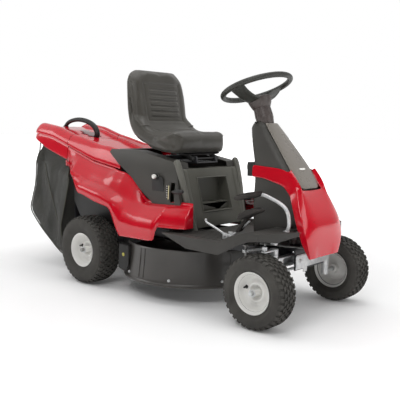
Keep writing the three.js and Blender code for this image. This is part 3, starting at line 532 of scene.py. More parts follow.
def rim_mesh(centre, half, out, hub_bolts):
    """A pressed disc between two flanges, with the hub's tube through its middle."""
    edge = half * 0.72
    bed = [(90, -edge - 5), (91, -edge - 2), (84, -edge + 2), (76, -edge + 14), (70, 0), (76, edge - 14)]
    bed += [(84, edge - 3), (90, edge + 1)]
    flange = [(92, edge + 4), (90, edge + 6.5), (87, edge + 5), (82, edge - 4), (76, edge - 12)]
    disc = [(73, edge - 22), (70, 16), (64, 9), (52, 8), (47, 11), (43, 17), (39, 20), (33, 18), (29, 8)]
    hub = [(27, 0), (22, -4), (15, -5), (15, 40), (13, 42), (11, 42), (11, -32), (22, -32), (24, -8)]
    back = [(60, -2), (68, -14), (84, -edge)]
    dish = bed + flange + disc + hub + back
    parts = [lathe([(r, h * out) for r, h in dish + dish[:1]], centre, LEFT, 96)]
    for a in turns(hub_bolts, 0.4):
        spot = centre + Vector((36 * math.cos(a), 18.5 * out, 36 * math.sin(a))) * MM
        parts.append(lathe([(0, 0), (6, 0), (6, 4), (5, 5.5), (0, 5.5)], spot, (0, out, 0), 6))
    return with_modifiers(merged(*parts), bevel(0.8, 2, 40))


def valve(centre, out):
    seat = centre + Vector((-57, 8.5 * out, 12)) * MM
    stem = [(0, 0), (8.5, 0), (8.5, 1.2), (4.5, 2.5), (4, 18), (2.6, 20), (0, 20)]
    return lathe(stem, seat, (0, out, 0), 20)


def hub_washer(centre, out):
    start = centre + Vector((0, 40 * out, 0)) * MM
    return lathe([(10.6, 3), (17, 3), (17, 5.5), (10.6, 5.5), (10.6, 3)], start, (0, out, 0), 32)


def wheel(end, side, out, half, radius, pitches, hub_bolts):
    tyre_node = f"{end}_tyre_{side}"
    name = f"{end}_{side}"
    body = f"{end}_wheel_{side}"
    centre = middle(tyre_node)
    centre.z = radius * MM
    tyre = tyre_mesh(centre, radius, half, lug=6.5, rows_of_lugs=6, pitches=pitches, bead=79)
    rim = rim_mesh(centre, half, out, hub_bolts)
    piece(f"{name}_turf_tyre", tyre, TYRE_RUBBER, body, [tyre_node], 32)
    piece(f"{name}_disc_wheel", rim, RIM_PAINT, body, [f"{end}_rim_{side}"], 50)
    piece(f"{name}_valve", valve(centre, out), BLACK, body)
    piece(f"{name}_hub_washer", hub_washer(centre, out), ZINC, body)


def wheels():
    for side, out in (("right", -1), ("left", 1)):
        wheel("front", side, out, half=64, radius=FRONT_RADIUS, pitches=34, hub_bolts=0)
    for side, out in (("right", -1), ("left", 1)):
        wheel("rear", side, out, half=75, radius=REAR_RADIUS, pitches=40, hub_bolts=4)


wheels()


# ---------------------------------------------------------------- steering column, hood and neck
COLUMN_FRONT = [(365, 700), (420, 806), (500, 792), (580, 790), (657, 737), (774, 645), (855, 576)]
COLUMN_FRONT.append((873, 562))
COLUMN_BACK = [(362, 552), (500, 546), (620, 546), (673, 543), (770, 512), (850, 490), (873, 492)]
COLUMN_HALF = [(362, 112), (560, 106), (600, 101), (673, 100), (780, 83), (850, 67), (873, 60)]


def rounded_section(x0, x1, half, z, corner_back, corner_front, steps=5):
    """A level section of a column: a rectangle with arcs at its corners."""
    back, front = x0 + corner_back, x1 - corner_front
    corners = [
        (back, corner_back - half, corner_back, math.pi),
        (front, corner_front - half, corner_front, 1.5 * math.pi),
        (front, half - corner_front, corner_front, 0),
        (back, half - corner_back, corner_back, 0.5 * math.pi),
    ]
    ring = []
    for cx, cy, r, start in corners:
        for i in range(steps + 1):
            a = start + 0.5 * math.pi * i / steps
            ring.append(at(cx + r * math.cos(a), cy + r * math.sin(a), z))
    return ring


def column_cover():
    rows = []
    for z in (364, 372, 400, 430, 480, 540, 600, 657, 700, 740, 780, 820, 845, 862, 870, 874):
        front = blend_between(COLUMN_FRONT, z) - 3
        back = blend_between(COLUMN_BACK, z)
        half = blend_between(COLUMN_HALF, z)
        pinch = max(0.0, z - 855) * 0.45
        corner = 16 + max(0.0, (z - 600) * 0.03)
        ends = (back + pinch, front - pinch, half - pinch)
        rows.append(rounded_section(*ends, z, corner, corner + 18))
    shell = with_modifiers(grid(rows, close_rows=True), solidify(3.5))
    ring = rows[-2]
    centre = sum(ring, Vector()) / len(ring)
    lid_rows = [ring, [p + (centre - p) * 0.3 + Vector((0, 0, 0.003)) for p in ring]]
    lid_rows.append([p + (centre - p) * 0.52 + Vector((0, 0, 0.003)) for p in ring])
    lid = with_modifiers(grid(lid_rows, close_rows=True), solidify(3))
    piece("column_cover_skin", merged(shell, lid), DARK, "chassis", ["column_cover"], 35)


INSERT_HALF = [(868, 44), (850, 48), (800, 58), (740, 68), (690, 76)]
INSERT_HALF += [(650, 80), (615, 79), (596, 75), (584, 64), (579, 48)]
BADGE_Z = 664


def column_insert():
    """The lighter panel let into the front of the column, ending in a U between the hood's arms."""
    rows = []
    for z, half in INSERT_HALF:
        front = blend_between(COLUMN_FRONT, z)
        edge = [(front - 5, -half, z - 1), (front + 2, -half * 0.92, z)]
        rows.append(mirrored([*edge, (front + 5.5, -half * 0.6, z), (front + 7, 0, z)]))
    panel = with_modifiers(grid(rows), solidify(4), subdivide(2))
    piece("column_front_insert", panel, INSERT, "chassis")


def badge():
    """A blank oval plate laid on the insert."""
    lean = math.cos(math.atan2(117, 92)) * 1.2
    outline = [(27 * math.cos(a), BADGE_Z + 7.5 * math.sin(a) * lean) for a in turns(28)]
    rings = []
    for lift, spread, shrink in ((7.5, 1, 1), (11.5, 0.9, 0.84)):
        ring = []
        for y, z in outline:
            front = blend_between(COLUMN_FRONT, z) + lift
            ring.append(at(front, y * spread, BADGE_Z + (z - BADGE_Z) * shrink))
        rings.append(ring)
    plate = capped(grid(rings, close_rows=True))
    piece("column_blank_badge", plate, WHITE, "chassis")


# The hood's right half, from the arms' back ends down to the lower edge: outer points first.
HOOD_ARM = [
    [(541, -110, 624), (540, -104, 676)],
    [(552, -111, 621), (552, -104, 676)],
    [(600, -112, 622), (600, -104, 672)],
    [(660, -113, 606), (664, -105, 669)],
    [(700, -113, 596), (712, -106, 664)],
    [(722, -113, 587), (738, -108, 650), (748, -99, 664), (736, -84, 658)],
    [(738, -113, 570), (760, -110, 616), (779, -99, 628), (764, -82, 616)],
    [(752, -114, 553), (780, -111, 588), (801, -98, 594), (788, -78, 584)],
]
HOOD_FACE = [
    [(757, -116, 548), (788, -113, 576), (806, -97, 578), (801, -78, 574), (799, -56, 573), (798, 0, 571)],
    [(766, -124, 538), (800, -121, 556), (814, -100, 560), (816, -80, 556), (815, -56, 555), (815, 0, 553)],
    [(783, -138, 515), (821, -140, 508), (834, -114, 516), (838, -84, 514), (838, -56, 513), (839, 0, 512)],
    [(806, -150, 462), (845, -153, 458), (857, -120, 464), (862, -84, 462), (863, -56, 462), (863, 0, 462)],
    [(822, -153, 418), (857, -156, 422), (868, -124, 425), (873, -84, 424), (874, -56, 424), (874, 0, 424)],
    [(844, -146, 352), (871, -149, 374), (875, -122, 370), (877, -84, 368), (877, -56, 368), (877, 0, 368)],
    [(851, -138, 330), (873, -139, 336), (877, -114, 334), (877, -72, 332), (876.5, -64, 332)]
    + [(876, 0, 332)],
    [(856, -129, 312), (874, -130, 316), (877, -108, 314), (877, -70, 314), (873.5, -62, 314)]
    + [(873.5, 0, 314)],
    [(862, -120, 290), (873, -122, 291), (875.5, -102, 290), (875.5, -69, 290), (871.5, -61, 290)]
    + [(871.5, 0, 290)],
    [(864, -117, 283), (872, -119, 283), (874.5, -100, 283), (874.5, -69, 283), (870.5, -61, 283)]
    + [(870.5, 0, 283)],
]


def hood():
    points, faces, rows = [], [], []
    for row in [*HOOD_ARM, *HOOD_FACE]:
        rows.append(list(range(len(points), len(points) + len(row))))
        points += row
    for above, below in zip(rows, rows[1:]):
        for j in range(min(len(above), len(below)) - 1):
            faces.append((above[j], above[j + 1], below[j + 1], below[j]))
    count = len(points)
    points += [(x, -y, z) for x, y, z in points]
    faces += [tuple(count + i for i in reversed(f)) for f in faces]
    mesh = facing_out(mesh_of([at(*p) for p in points], faces))
    with editing(mesh) as work:
        crease = work.edges.layers.float.new("crease_edge")
        for edge in work.edges:
            if len(edge.link_faces) == 2 and edge.calc_face_angle() > math.radians(38):
                edge[crease] = 0.55
            if edge.is_boundary:
                edge[crease] = 0.85
    skin = with_modifiers(mesh, solidify(3.2), subdivide(3))
    piece("hood_skin", skin, RED, "chassis", ["front_hood"], 50)


def neck():
    axis = Vector(TILT_DOWN)
    top = axis * 0.094 + STEERING_HUB
    profile = [(0, 0), (37, 0), (39, -2), (39.5, -14), (41, -50), (42.5, -58), (40, -70), (37, -92), (0, -92)]
    parts = [lathe(profile, top, -axis, 48)]
    across = axis.cross(Vector(LEFT)).normalized()
    for a in turns(14, 0.2):
        side = across * math.cos(a) + Vector(LEFT) * math.sin(a)
        start = top + side * 0.0375 + axis * 0.004
        stop = top + side * 0.0405 + axis * 0.052
        parts.append(rib_between(start, stop, side, 0.0026, 0.0022))
    piece("column_neck_skin", merged(*parts), BROWN, "chassis", ["column_neck"])


def rib_between(start, stop, out, width, height):
    """A low rib on a surface that faces out, sloping off at both ends. All in metres."""
    along = (stop - start).normalized()
    side = along.cross(out).normalized()
    rows = []
    ends = [(start, 0.0), (start + along * height, 1.0), (stop - along * height, 1.0), (stop, 0.0)]
    section = [(-1, 0), (-0.6, 1), (0.6, 1), (1, 0)]
    for p, lift in ends:
        row = []
        for reach, raised in section:
            rise = height * lift if raised else -0.001
            row.append(p + side * width * reach + out * rise)
        rows.append(row)
    return grid(rows)


# ---------------------------------------------------------------- steering wheel
COLUMN_TILT = math.radians(20)
TILT_DOWN = (math.sin(COLUMN_TILT), 0, -math.cos(COLUMN_TILT))
STEERING_HUB = at(474, 0, 1033)
GRIPS = 30


def on_wheel(u, v, w):
    """A point of the steering wheel: u ahead, v left, w up along its axis, in millimetres."""
    turn = Matrix.Rotation(-COLUMN_TILT, 3, "Y")
    return STEERING_HUB + turn @ (Vector((u, v, w)) * MM)


RIM_RADIUS, RIM_THICK = 163, 13.2


def steering_rim():
    """A ring with shallow finger grips along its inner side."""
    rows = []
    for a in [*turns(240), 2 * math.pi]:
        wave = 1.6 * max(0.0, math.cos(GRIPS * a)) ** 0.7
        row = []
        for b in turns(16):
            inward = max(0.0, -math.cos(b))
            r = RIM_RADIUS + (RIM_THICK - wave * inward) * math.cos(b)
            row.append(on_wheel(r * math.cos(a), r * math.sin(a), RIM_THICK * math.sin(b)))
        rows.append(row)
    return facing_out(grid(rows, close_rows=True))


def steering_spokes():
    """One strap from rim to rim, dipping to the hub in the middle."""
    strap = []
    thick = 6.5
    for s in range(-16, 17):
        t = s / 16
        depth = -66 + 66 * abs(t) ** 2.4
        width = 34 + 6 * (1 - abs(t)) + 10 * abs(t) ** 6
        bulge = 5 * (1 - t * t)
        section = [(-1, 3), (-0.9, -thick), (0, -thick - bulge), (0.9, -thick)]
        section += [(1, 3), (0.85, thick), (0, thick + bulge * 0.4), (-0.85, thick)]
        strap.append([on_wheel(width * u, 156 * t, depth + w) for u, w in section])
    return with_modifiers(capped(grid(strap, close_rows=True)), subdivide(2))


def steering_wheel():
    made = merged(steering_rim(), steering_spokes())
    piece("steering_wheel_skin", made, WHEEL_GRIP, "steering", ["steering_wheel"], 60)
    up = -Vector(TILT_DOWN)
    cup = [(0, -106), (34, -106), (42, -102), (50, -84), (57, -62), (57, -56), (50, -52), (0, -52)]
    piece("steering_hub_cup", lathe(cup, STEERING_HUB, up, 48), BROWN, "steering")
    cap = [(0, -58), (27, -58), (29, -54), (27, -48), (0, -46)]
    piece("steering_hub_cap", lathe(cap, STEERING_HUB, up, 40), BLACK, "steering")


column_cover()
column_insert()
badge()
hood()
neck()
steering_wheel()


# ---------------------------------------------------------------- footboard and pedals
def footboard():
    skin = softened("footboard", 5)
    piece("footboard_skin", skin, FOOT, "chassis", ["footboard"], 35)
    ribs = []
    for side in (-1, 1):
        for i in range(7):
            y = side * (150 + i * 26)
            ribs.append(slab(215, 520, y - 3.5, y + 3.5, 344, 347.5))
    piece("footboard_ribs", eased(merged(*ribs), 1.2), FOOT, "chassis")


ROCKER = (512, -238, 352)
BRAKE = (784, -176, 396)


def rocker_bracket():
    plates = [slab(498, 526, y, y + 3, 340, 374) for y in (-262, -220)]
    plates += [slab(498, 526, -262, -217, 343, 346.5)]
    screws = [bolt(512, y, 361, (0, s, 0), 5) for y, s in ((-262, -1), (-217, 1))]
    piece("rocker_bracket", merged(eased(merged(*plates), 1), *screws), ZINC, "chassis")


def drive_rocker():
    y = ROCKER[1]
    bend = [(375, 419), (378, 408), (392, 400), (444, 381), (502, 356), (516, 352), (528, 357), (572, 388)]
    bar = tube([(x, y, z) for x, z in [*bend, (632, 438)]], 5.2, steps=5)
    boss = [(0, -13), (10, -13), (11, -11), (11, 11), (10, 13), (0, 13)]
    eye = lathe(boss, at(*ROCKER), LEFT, 32)
    piece("drive_rocker_bar", merged(bar, eye), ZINC, "rocker", ["drive_rocker"])
    outline = [(590, 448), (600, 470), (640, 492), (676, 497), (690, 492), (688, 482), (650, 466), (612, 444)]
    pad = eased(prism(outline, y - 40, y + 34, "y"), 4, 3)
    treads = []
    for i in range(5):
        x, z = 606 + i * 15, 470 + i * 6.5
        treads.append(slab(x, x + 6, y - 34, y + 28, z - 2, z + 5))
    outline = [(560, 378), (572, 400), (616, 452), (626, 444), (584, 386)]
    heel = eased(prism(outline, y - 14, y + 14, "y"), 3)
    whole = merged(pad, eased(merged(*treads), 1.2), heel)
    piece("drive_rocker_pad", whole, PAD_RUBBER, "rocker")


def brake_pedal():
    y = BRAKE[1]
    bend = [(784, 396), (794, 418), (797, 438), (791, 478), (772, 506), (738, 525), (700, 539), (668, 549)]
    bar = tube([(x, y, z) for x, z in [*bend, (640, 553)]], 8.2, steps=6)
    boss = [(0, -15), (11, -15), (12, -13), (12, 13), (11, 15), (0, 15)]
    eye = lathe(boss, at(*BRAKE), LEFT, 32)
    piece("brake_pedal_arm", merged(bar, eye), ZINC, "brake", ["brake_pedal"])
    outline = [(580, 533), (586, 546), (640, 562), (654, 560), (652, 548), (600, 530)]
    pad = eased(prism(outline, -292, -168, "y"), 4, 3)
    treads = []
    for i in range(5):
        x, z = 592 + i * 13, 546 + i * 3.6
        treads.append(slab(x, x + 6, -286, -174, z, z + 8))
    whole = merged(pad, eased(merged(*treads), 1.2))
    piece("brake_pedal_pad", whole, PAD_RUBBER, "brake")


# ---------------------------------------------------------------- seat
SEAT_HALF = 205
# The seat from the side: the cushion's front and top, the backrest, then back underneath.
SEAT_SIDE = [(120, 717), (140, 738), (144, 770), (136, 800), (112, 816), (60, 812), (0, 812), (-60, 820)]
SEAT_SIDE += [(-104, 840), (-130, 876), (-146, 950), (-162, 1030), (-180, 1105), (-190, 1134), (-206, 1145)]
SEAT_SIDE += [(-226, 1143), (-238, 1122), (-240, 1000), (-232, 905), (-206, 832), (-165, 786), (-110, 762)]
SEAT_SIDE += [(-45, 736), (40, 722)]


def both_ways(*shares):
    """The shares on the right, the middle, and the shares on the left."""
    return [-share for share in reversed(shares)] + [0.0, *shares]


def seat_blank():
    """The cushion and the backrest as one closed form, narrower towards its ends and edges."""
    path = [Vector((x, z, 0)) for x, z in SEAT_SIDE]
    fine = smooth_path([*path, path[0]], 3)[:-1]
    count = len(fine)
    outwards = []
    for i, p in enumerate(fine):
        along = fine[(i + 2) % count] - fine[i - 2]
        outwards.append(Vector((along.y, -along.x)).normalized())
    rows = []
    for share in both_ways(0.5, 0.75, 0.87, 0.94, 0.985, 1.0):
        edge = max(0.0, abs(share) - 0.8) / 0.2
        pull = 17 * edge**3 - 2
        curl = 30 * smooth_step(0.45, 1.0, abs(share)) ** 2
        row = []
        for p, out in zip(fine, outwards):
            x, z = p.x, p.y
            half = SEAT_HALF - 2 - 44 * (max(0.0, z - 1080) / 68) ** 2
            half -= 26 * (max(0.0, x - 70) / 75) ** 2
            front = smooth_step(850, 900, z) * (1 if out.x > 0.2 else 0)
            row.append(at(x - out.x * pull - curl * front, share * half, z - out.y * pull))
        rows.append(row)
    return facing_out(capped(grid(rows, close_rows=True)))


CLOTH_FRAMES = 20


def inflated(mesh, voxel, pressure, cap):
    """Cloth under light pressure, with each point held within cap of where it began."""
    body = bpy.data.objects.new("padding", mesh)
    bpy.context.scene.collection.objects.link(body)
    remesh = body.modifiers.new("remesh", "REMESH")
    remesh.mode = "VOXEL"
    remesh.voxel_size = voxel * MM
    depsgraph = bpy.context.evaluated_depsgraph_get()
    body.data = bpy.data.meshes.new_from_object(body.evaluated_get(depsgraph))
    body.modifiers.clear()
    start = [v.co.copy() for v in body.data.vertices]
    cloth_step = body.modifiers.new("cloth", "CLOTH")
    cloth_step.settings.use_pressure = True
    cloth_step.settings.uniform_pressure_force = pressure
    cloth_step.settings.effector_weights.gravity = 0
    cloth_step.settings.quality = 4
    cloth_step.point_cache.frame_start = 1
    cloth_step.point_cache.frame_end = CLOTH_FRAMES
    for number in range(1, CLOTH_FRAMES + 1):
        bpy.context.scene.frame_set(number)
    depsgraph = bpy.context.evaluated_depsgraph_get()
    puffed = bpy.data.meshes.new_from_object(body.evaluated_get(depsgraph))
    body.modifiers.clear()
    for v, home, moved in zip(body.data.vertices, start, puffed.vertices):
        step = moved.co - home
        v.co = home + step * min(1.0, cap * MM / max(step.length, 1e-9))
    bpy.context.scene.frame_set(1)
    result = body.data
    bpy.data.objects.remove(body)
    return result


def smooth_step(edge0, edge1, value):
    t = min(1.0, max(0.0, (value - edge0) / (edge1 - edge0)))
    return t * t * (3 - 2 * t)


PANEL_HALF, PANEL_LOW, PANEL_HIGH = 128, 878, 1072
RIBS, RIB_LOW, RIB_HIGH = 5, 897, 1045
CUSHION_HALF, CUSHION_BACK, CUSHION_FRONT = 132, -70, 92


def backrest_depth(y, z):
    """How far the backrest's face stands out: a sunk panel with ribs, between two bolsters."""
    away = max(abs(y) - PANEL_HALF, PANEL_LOW - z, z - PANEL_HIGH)
    push = -5.0 * math.exp(-((away / 6.0) ** 2)) - 3.5 * (1 - smooth_step(-14, 0, away))
    if away < -10 and RIB_LOW - 4 < z < RIB_HIGH + 4:
        phase = (z - RIB_LOW) / (RIB_HIGH - RIB_LOW) * RIBS
        side = 1 - smooth_step(PANEL_HALF - 34, PANEL_HALF - 16, abs(y))
        push += side * (8.5 * abs(math.sin(math.pi * phase)) ** 0.8 - 4.5)
    bolster = smooth_step(PANEL_HALF + 4, PANEL_HALF + 40, abs(y))
    return push + 5.0 * bolster * (1 - smooth_step(1080, 1130, z))


def cushion_depth(x, y):
    """How far the cushion's top stands out: a seam round a dished middle, and raised sides."""
    across = abs(y) - CUSHION_HALF
    away = max(across, x - CUSHION_FRONT, CUSHION_BACK - x)
    seam = 4.5 * math.exp(-((away / 5.5) ** 2))
    return 3.0 * smooth_step(6, 40, across) - seam - 6.0 * (1 - smooth_step(-70, -6, away))


def sew(mesh):
    """Sewn channels, the panel's frame and the seams, pressed into the padding along its normals."""
    mesh.calc_loop_triangles()
    normals = [v.normal.copy() for v in mesh.vertices]
    for v, normal in zip(mesh.vertices, normals):
        x = (v.co.x - SHIFT) / MM
        y = v.co.y / MM
        z = v.co.z / MM
        push = 0.0
        if z > 845 and normal.x > 0.35:
            push += backrest_depth(y, z)
        if normal.z > 0.4 and z < 850:
            push += cushion_depth(x, y)
        if 0.3 < abs(normal.y) < 0.95:
            welt = abs(abs(y) - (SEAT_HALF - 15))
            push -= 1.6 * math.exp(-((welt / 5.0) ** 2))
        v.co += normal * push * MM
    return mesh


def seat():
    padding = inflated(seat_blank(), voxel=5, pressure=4.0, cap=5)
    every_way = {"use_axis_x": True, "use_axis_y": True, "use_axis_z": True}
    with editing(padding) as work:
        for _ in range(7):
            bmesh.ops.smooth_vert(work, verts=work.verts, factor=0.5, **every_way)
    padding = with_modifiers(padding, subdivide(1))
    made = piece("seat_cushion", sew(padding), VINYL, "seat", ["seat_pad"], smooth=0)
    under = [(128, 708), (112, 712), (40, 720), (-45, 732), (-110, 757), (-166, 783), (-210, 828)]
    shell_rows = []
    for y in both_ways(120, 146, 150):
        drop = 7 * (1 - max(0.0, abs(y) - 120) / 30)
        shell_rows.append([at(x, y, z - drop + 4) for x, z in under])
    pan = with_modifiers(grid(shell_rows), solidify(5, 1.0), subdivide(2))
    hinge = softened("seat_pan", 1.5, 2)
    piece("seat_pan_skin", merged(pan, hinge), BLACK, "seat", ["seat_pan"])


# ---------------------------------------------------------------- seat console and pedestal
def seat_console():
    skin = softened("seat_console", 7, 4)
    piece("seat_console_skin", skin, DARK, "chassis", ["seat_console"], 35)
    # Black plates on both sides of the console: painted shade standing in for the shadowed recess in each
    # side.
    outline = [(20, 486), (22, 588), (30, 598), (84, 598), (96, 590), (118, 482), (108, 474), (30, 474)]
    plates = [prism(outline, -249, -246, "y"), prism(outline, 246, 249, "y")]
    piece("console_side_painted_recess_shade", eased(merged(*plates), 2), BLACK, "chassis")
    strip = prism([(137, 492), (143, 492), (147, 560), (141, 560)], -253.5, -251.5, "y")
    piece("height_scale_strip", eased(strip, 0.6), SCALE_STRIP, "chassis")
    heights = [500 + i * 11 for i in range(6)]
    marks = merged(*[slab(126, 133, -252.5, -249, z, z + 2.5) for z in heights])
    piece("height_scale_marks", eased(marks, 0.5, 1), WHITE, "chassis")


def choke_knob():
    centre = at(49, -252, 599)
    face = (0, -1, 0)
    cap = lathe([(0, 2), (9.5, 2), (11, 4), (11, 14), (9.8, 17), (0, 18)], centre, face, 40)
    collar = lathe([(8.6, -6), (15, -6), (16, -3), (15, 2), (8.6, 2), (8.6, -6)], centre, face, 40)
    stem = lathe([(0, -26), (7.2, -26), (7.2, 3), (0, 3)], centre, face, 24)
    piece("choke_knob_cap", merged(cap, stem), WHITE, "choke", ["panel_knob"])
    piece("choke_collar", collar, BLACK, "chassis")


def height_lever():
    path = [(40, -226, 500), (100, -227, 512), (150, -236, 524), (176, -260, 532), (206, -271, 535)]
    arm = tube(path, 5.2, steps=5)
    handle = [(0, -4), (7, -4), (8, 2), (10.5, 14), (12, 34), (11, 50), (7, 58), (0, 60)]
    grip = lathe(handle, at(200, -272, 534), (1, 0, 0.1), 32)
    boss = [(0, -4), (15, -4), (16, -2), (16, 20), (15, 22), (0, 22)]
    hub = lathe(boss, at(40, -226, 500), LEFT, 32)
    piece("height_lever_skin", merged(arm, grip, hub), BLACK, "lift_lever", ["height_lever"])


def pedestal_front(z):
    """How far forward the pedestal's face stands at a height."""
    return blend_between([(352, 263), (400, 256), (639, 188)], z)


def pedestal_ridge(side):
    """An upright ridge near the edge of the pedestal's face, sunk at both ends."""
    rows = []
    for z in (358, 372, 440, 520, 600, 632, 640):
        lift = 0 if z in (358, 640) else 9
        section = [(-5, 206), (lift - 2, 203), (lift, 192), (lift - 1, 180), (-4, 168)]
        rows.append([at(pedestal_front(z) + out, side * y, z) for out, y in section])
    return facing_out(with_modifiers(grid(rows), subdivide(2)))


def pocket_rim(start, stop):
    """A thin bead on the pedestal's face between two (z, y) points."""
    points = []
    for i in range(5):
        z, y = (a + (b - a) * i / 4 for a, b in zip(start, stop))
        points.append((pedestal_front(z) + 1, y, z))
    return tube(points, 3.5, steps=2, sides=10)


POST = [(168, 224, 676), (180, 224, 655), (198, 221, 600), (216, 216, 530), (234, 208, 450)]
POST += [(252, 198, 380), (262, 190, 338)]


def seat_pedestal():
    skin = softened("seat_pedestal", 8, 4)
    piece("seat_pedestal_skin", skin, GREY, "chassis", ["seat_pedestal"], 35)
    border = [pocket_rim((592, y), (428, y)) for y in (-112, 112)]
    border += [pocket_rim((z, -114), (z, 114)) for z in (594, 426)]
    ridges = merged(pedestal_ridge(-1), pedestal_ridge(1), *border)
    piece("pedestal_ridges", ridges, GREY, "chassis")
    outline = [(-108, 430), (-108, 468), (8, 468), (30, 434), (52, 468), (108, 468), (108, 430)]
    sill = eased(prism(outline, 158, 226, "x"), 3, 3)
    piece("pocket_sill", sill, GREY, "chassis")
    posts = [tube([(x, side * y, z) for x, y, z in POST], 16, steps=5, sides=20) for side in (-1, 1)]
    piece("console_corner_posts", merged(*posts), CORNER, "chassis")


# ---------------------------------------------------------------- rear body
GROOVE = [(-1062, 802), (-863, 775), (-699, 725), (-478, 655), (-266, 620), (-200, 606)]
CREASE = [(-708, 660), (-660, 628), (-600, 606), (-540, 584), (-500, 572), (-437, 553), (-272, 527)]
CREASE += [(-132, 474), (-60, 452), (0, 440), (140, 432), (310, 428)]
FENDER_BOTTOM = [(-708, 640), (-650, 617), (-600, 596), (-550, 579), (-500, 566), (-472, 524), (-447, 490)]
FENDER_BOTTOM += [(-395, 480), (-303, 454), (-205, 436), (-180, 428), (-163, 400), (-148, 369), (-125, 326)]
FENDER_BOTTOM += [(-102, 296), (138, 299), (147, 364), (310, 366)]
FENDER_Y = [(-708, 238), (-650, 258), (-600, 286), (-550, 324), (-500, 350), (-447, 359), (-300, 361)]
FENDER_Y += [(138, 359), (150, 330), (250, 312), (300, 290)]
BODY_EDGE = [(-300, 628), (-242, 618), (-206, 612), (-148, 586), (-97, 548), (-53, 500), (-20, 476)]
BODY_EDGE += [(30, 474), (262, 484)]
BODY_BACK = -708
LID_RISE = [(-1062, 0), (-768, 0), (-712, 1), (-640, 11), (-520, 21), (-400, 30)]


def rounded(table, x, reach=8):
    """A table's value with its corners rounded over a short reach on both sides."""
    return sum(blend_between(table, x + reach * k / 3) for k in range(-3, 4)) / 7


def chaikin(row, rounds=2):
    """Corner cutting that keeps the two end points of an open row."""
    for _ in range(rounds):
        cut = [row[0]]
        for a, b in zip(row, row[1:]):
            cut.append(tuple(p * 0.75 + q * 0.25 for p, q in zip(a, b)))
            cut.append(tuple(p * 0.25 + q * 0.75 for p, q in zip(a, b)))
        row = [*cut, row[-1]]
    return row


def both_sides(rows, wall=3.2):
    """Rows of (x, y, z) for the left side, mirrored and given a wall."""
    halves = []
    for side in (-1, 1):
        halves.append(grid([[at(x, side * y, z) for x, y, z in row] for row in rows]))
    return with_modifiers(facing_out(merged(*halves)), solidify(wall))


def lid_section(x):
    """The lid from its middle to its lip: a flat floor, a rounded ridge and a lip over a groove."""
    g = rounded(GROOVE, x, 30)
    rise = blend_between(LID_RISE, x)
    return [
        (0, g + 42 + rise * 0.5),
        (60, g + 42 + rise * 0.5),
        (132, g + 40 + rise * 0.5),
        (150, g + 41 + rise * 0.5),
        (157, g + 60 + rise),
        (173, g + 66 + rise),
        (196, g + 58 + rise * 0.9),
        (218, g + 34 + rise * 0.3),
        (227, g + 18),
        (228, g + 3),
        (225, g + 0),
        (220, g - 1),
    ]


def flank_section(x):
    """The side from the groove, or the console's edge, down over the fender to its lower edge."""
    g = rounded(GROOVE, x, 30)
    ahead = smooth_step(-330, -250, x)
    edge = min(g - 2, rounded(BODY_EDGE, x, 14))
    crease = rounded(CREASE, x, 16)
    low = rounded(FENDER_BOTTOM, x, 3)
    out = rounded(FENDER_Y, x, 12)
    crease = min(max(crease, low + 6), edge - 12)
    high = edge + (g - 4 - edge) * (1 - ahead)
    inner = 220 + 20 * ahead
    shoulder = min(298, out - 4)
    span = crease - low
    lip = 5 * smooth_step(150, 160, x)
    if x > 150:
        shoulder = out - 16
    return [
        (inner, high),
        (inner + 2, high - 8),
        (inner + 5, high - 12),
        ((inner + shoulder) / 2 + 3, (high - 10 + crease) / 2 + 8),
        (shoulder - 5, crease + 7),
        (shoulder + 3, crease - 1),
        (shoulder + (out - shoulder) * 0.72, low + span * 0.74),
        (out - 2, low + span * 0.5),
        (out, low + span * 0.25),
        (out + lip * 0.1, low + 7),
        (out + lip, low + 5),
        (out + lip, low),
    ]


def section_at(section, x):
    """A (y, z) section with its corners cut round, as points at x."""
    return [(x, y, z) for y, z in chaikin(section(x))]


def rear_body():
    lid = [section_at(lid_section, BODY_BACK + step * 10) for step in range(47)]
    flank = [section_at(flank_section, BODY_BACK + step * 6) for step in range(167)]
    last = flank[-1]
    for ahead, keep in ((4, 0.97), (7, 0.88), (8, 0.7), (8.5, 0.0)):
        flank.append([(x + ahead, 240 + (y - 240) * keep, z) for x, y, z in last])
    skin = merged(both_sides(lid), both_sides(flank))
    piece("rear_body_skin", skin, RED, "chassis", ["rear_body"], 35)
    rolled = []
    for side in (-1, 1):
        arch = []
        for x in range(-640, 130, 18):
            arch.append((x, side * (rounded(FENDER_Y, x, 12) - 1), rounded(FENDER_BOTTOM, x, 3)))
        rolled.append(tube(arch, 2.6, steps=2, sides=8))
    piece("fender_rolled_edge", merged(*rolled), RED, "chassis")


def wheel_wells():
    """Dark inner panels that close the body behind the rear wheels."""
    outline = [(-640, 420), (-640, 600), (-470, 600), (-240, 600), (-165, 560), (-110, 440), (-95, 310)]
    outline.append((-560, 300))
    panels = merged(prism(outline, -237, -234, "y"), prism(outline, 234, 237, "y"))
    piece("wheel_wells", eased(panels, 1), BLACK, "chassis")


# ---------------------------------------------------------------- grass collector
COVER_FRONT = -712
COVER_TURN = -1000
COVER_END = 62
COVER_LOW = [(-1062, 776), (-1011, 754), (-914, 708), (-712, 648)]


def cover_section(x):
    """The lid's section with a side wall below it, tucked in towards the cover's back end."""
    g = rounded(GROOVE, x, 30)
    low = rounded(COVER_LOW, x, 20)
    turn = max(0.0, (COVER_TURN - x) / COVER_END)
    tuck = 1 - math.sqrt(max(0.0, 1 - turn * turn))
    wall = [(221, g - 4), (225, g - 12), (229, (g - 12 + low) / 2), (231, low + 6), (231, low)]
    section = []
    for y, z in [*lid_section(x), *wall]:
        drop = tuck * 30 * max(0.0, (z - low) / (g + 60 - low))
        section.append((y * (1 - 0.16 * tuck), z - drop))
    return section


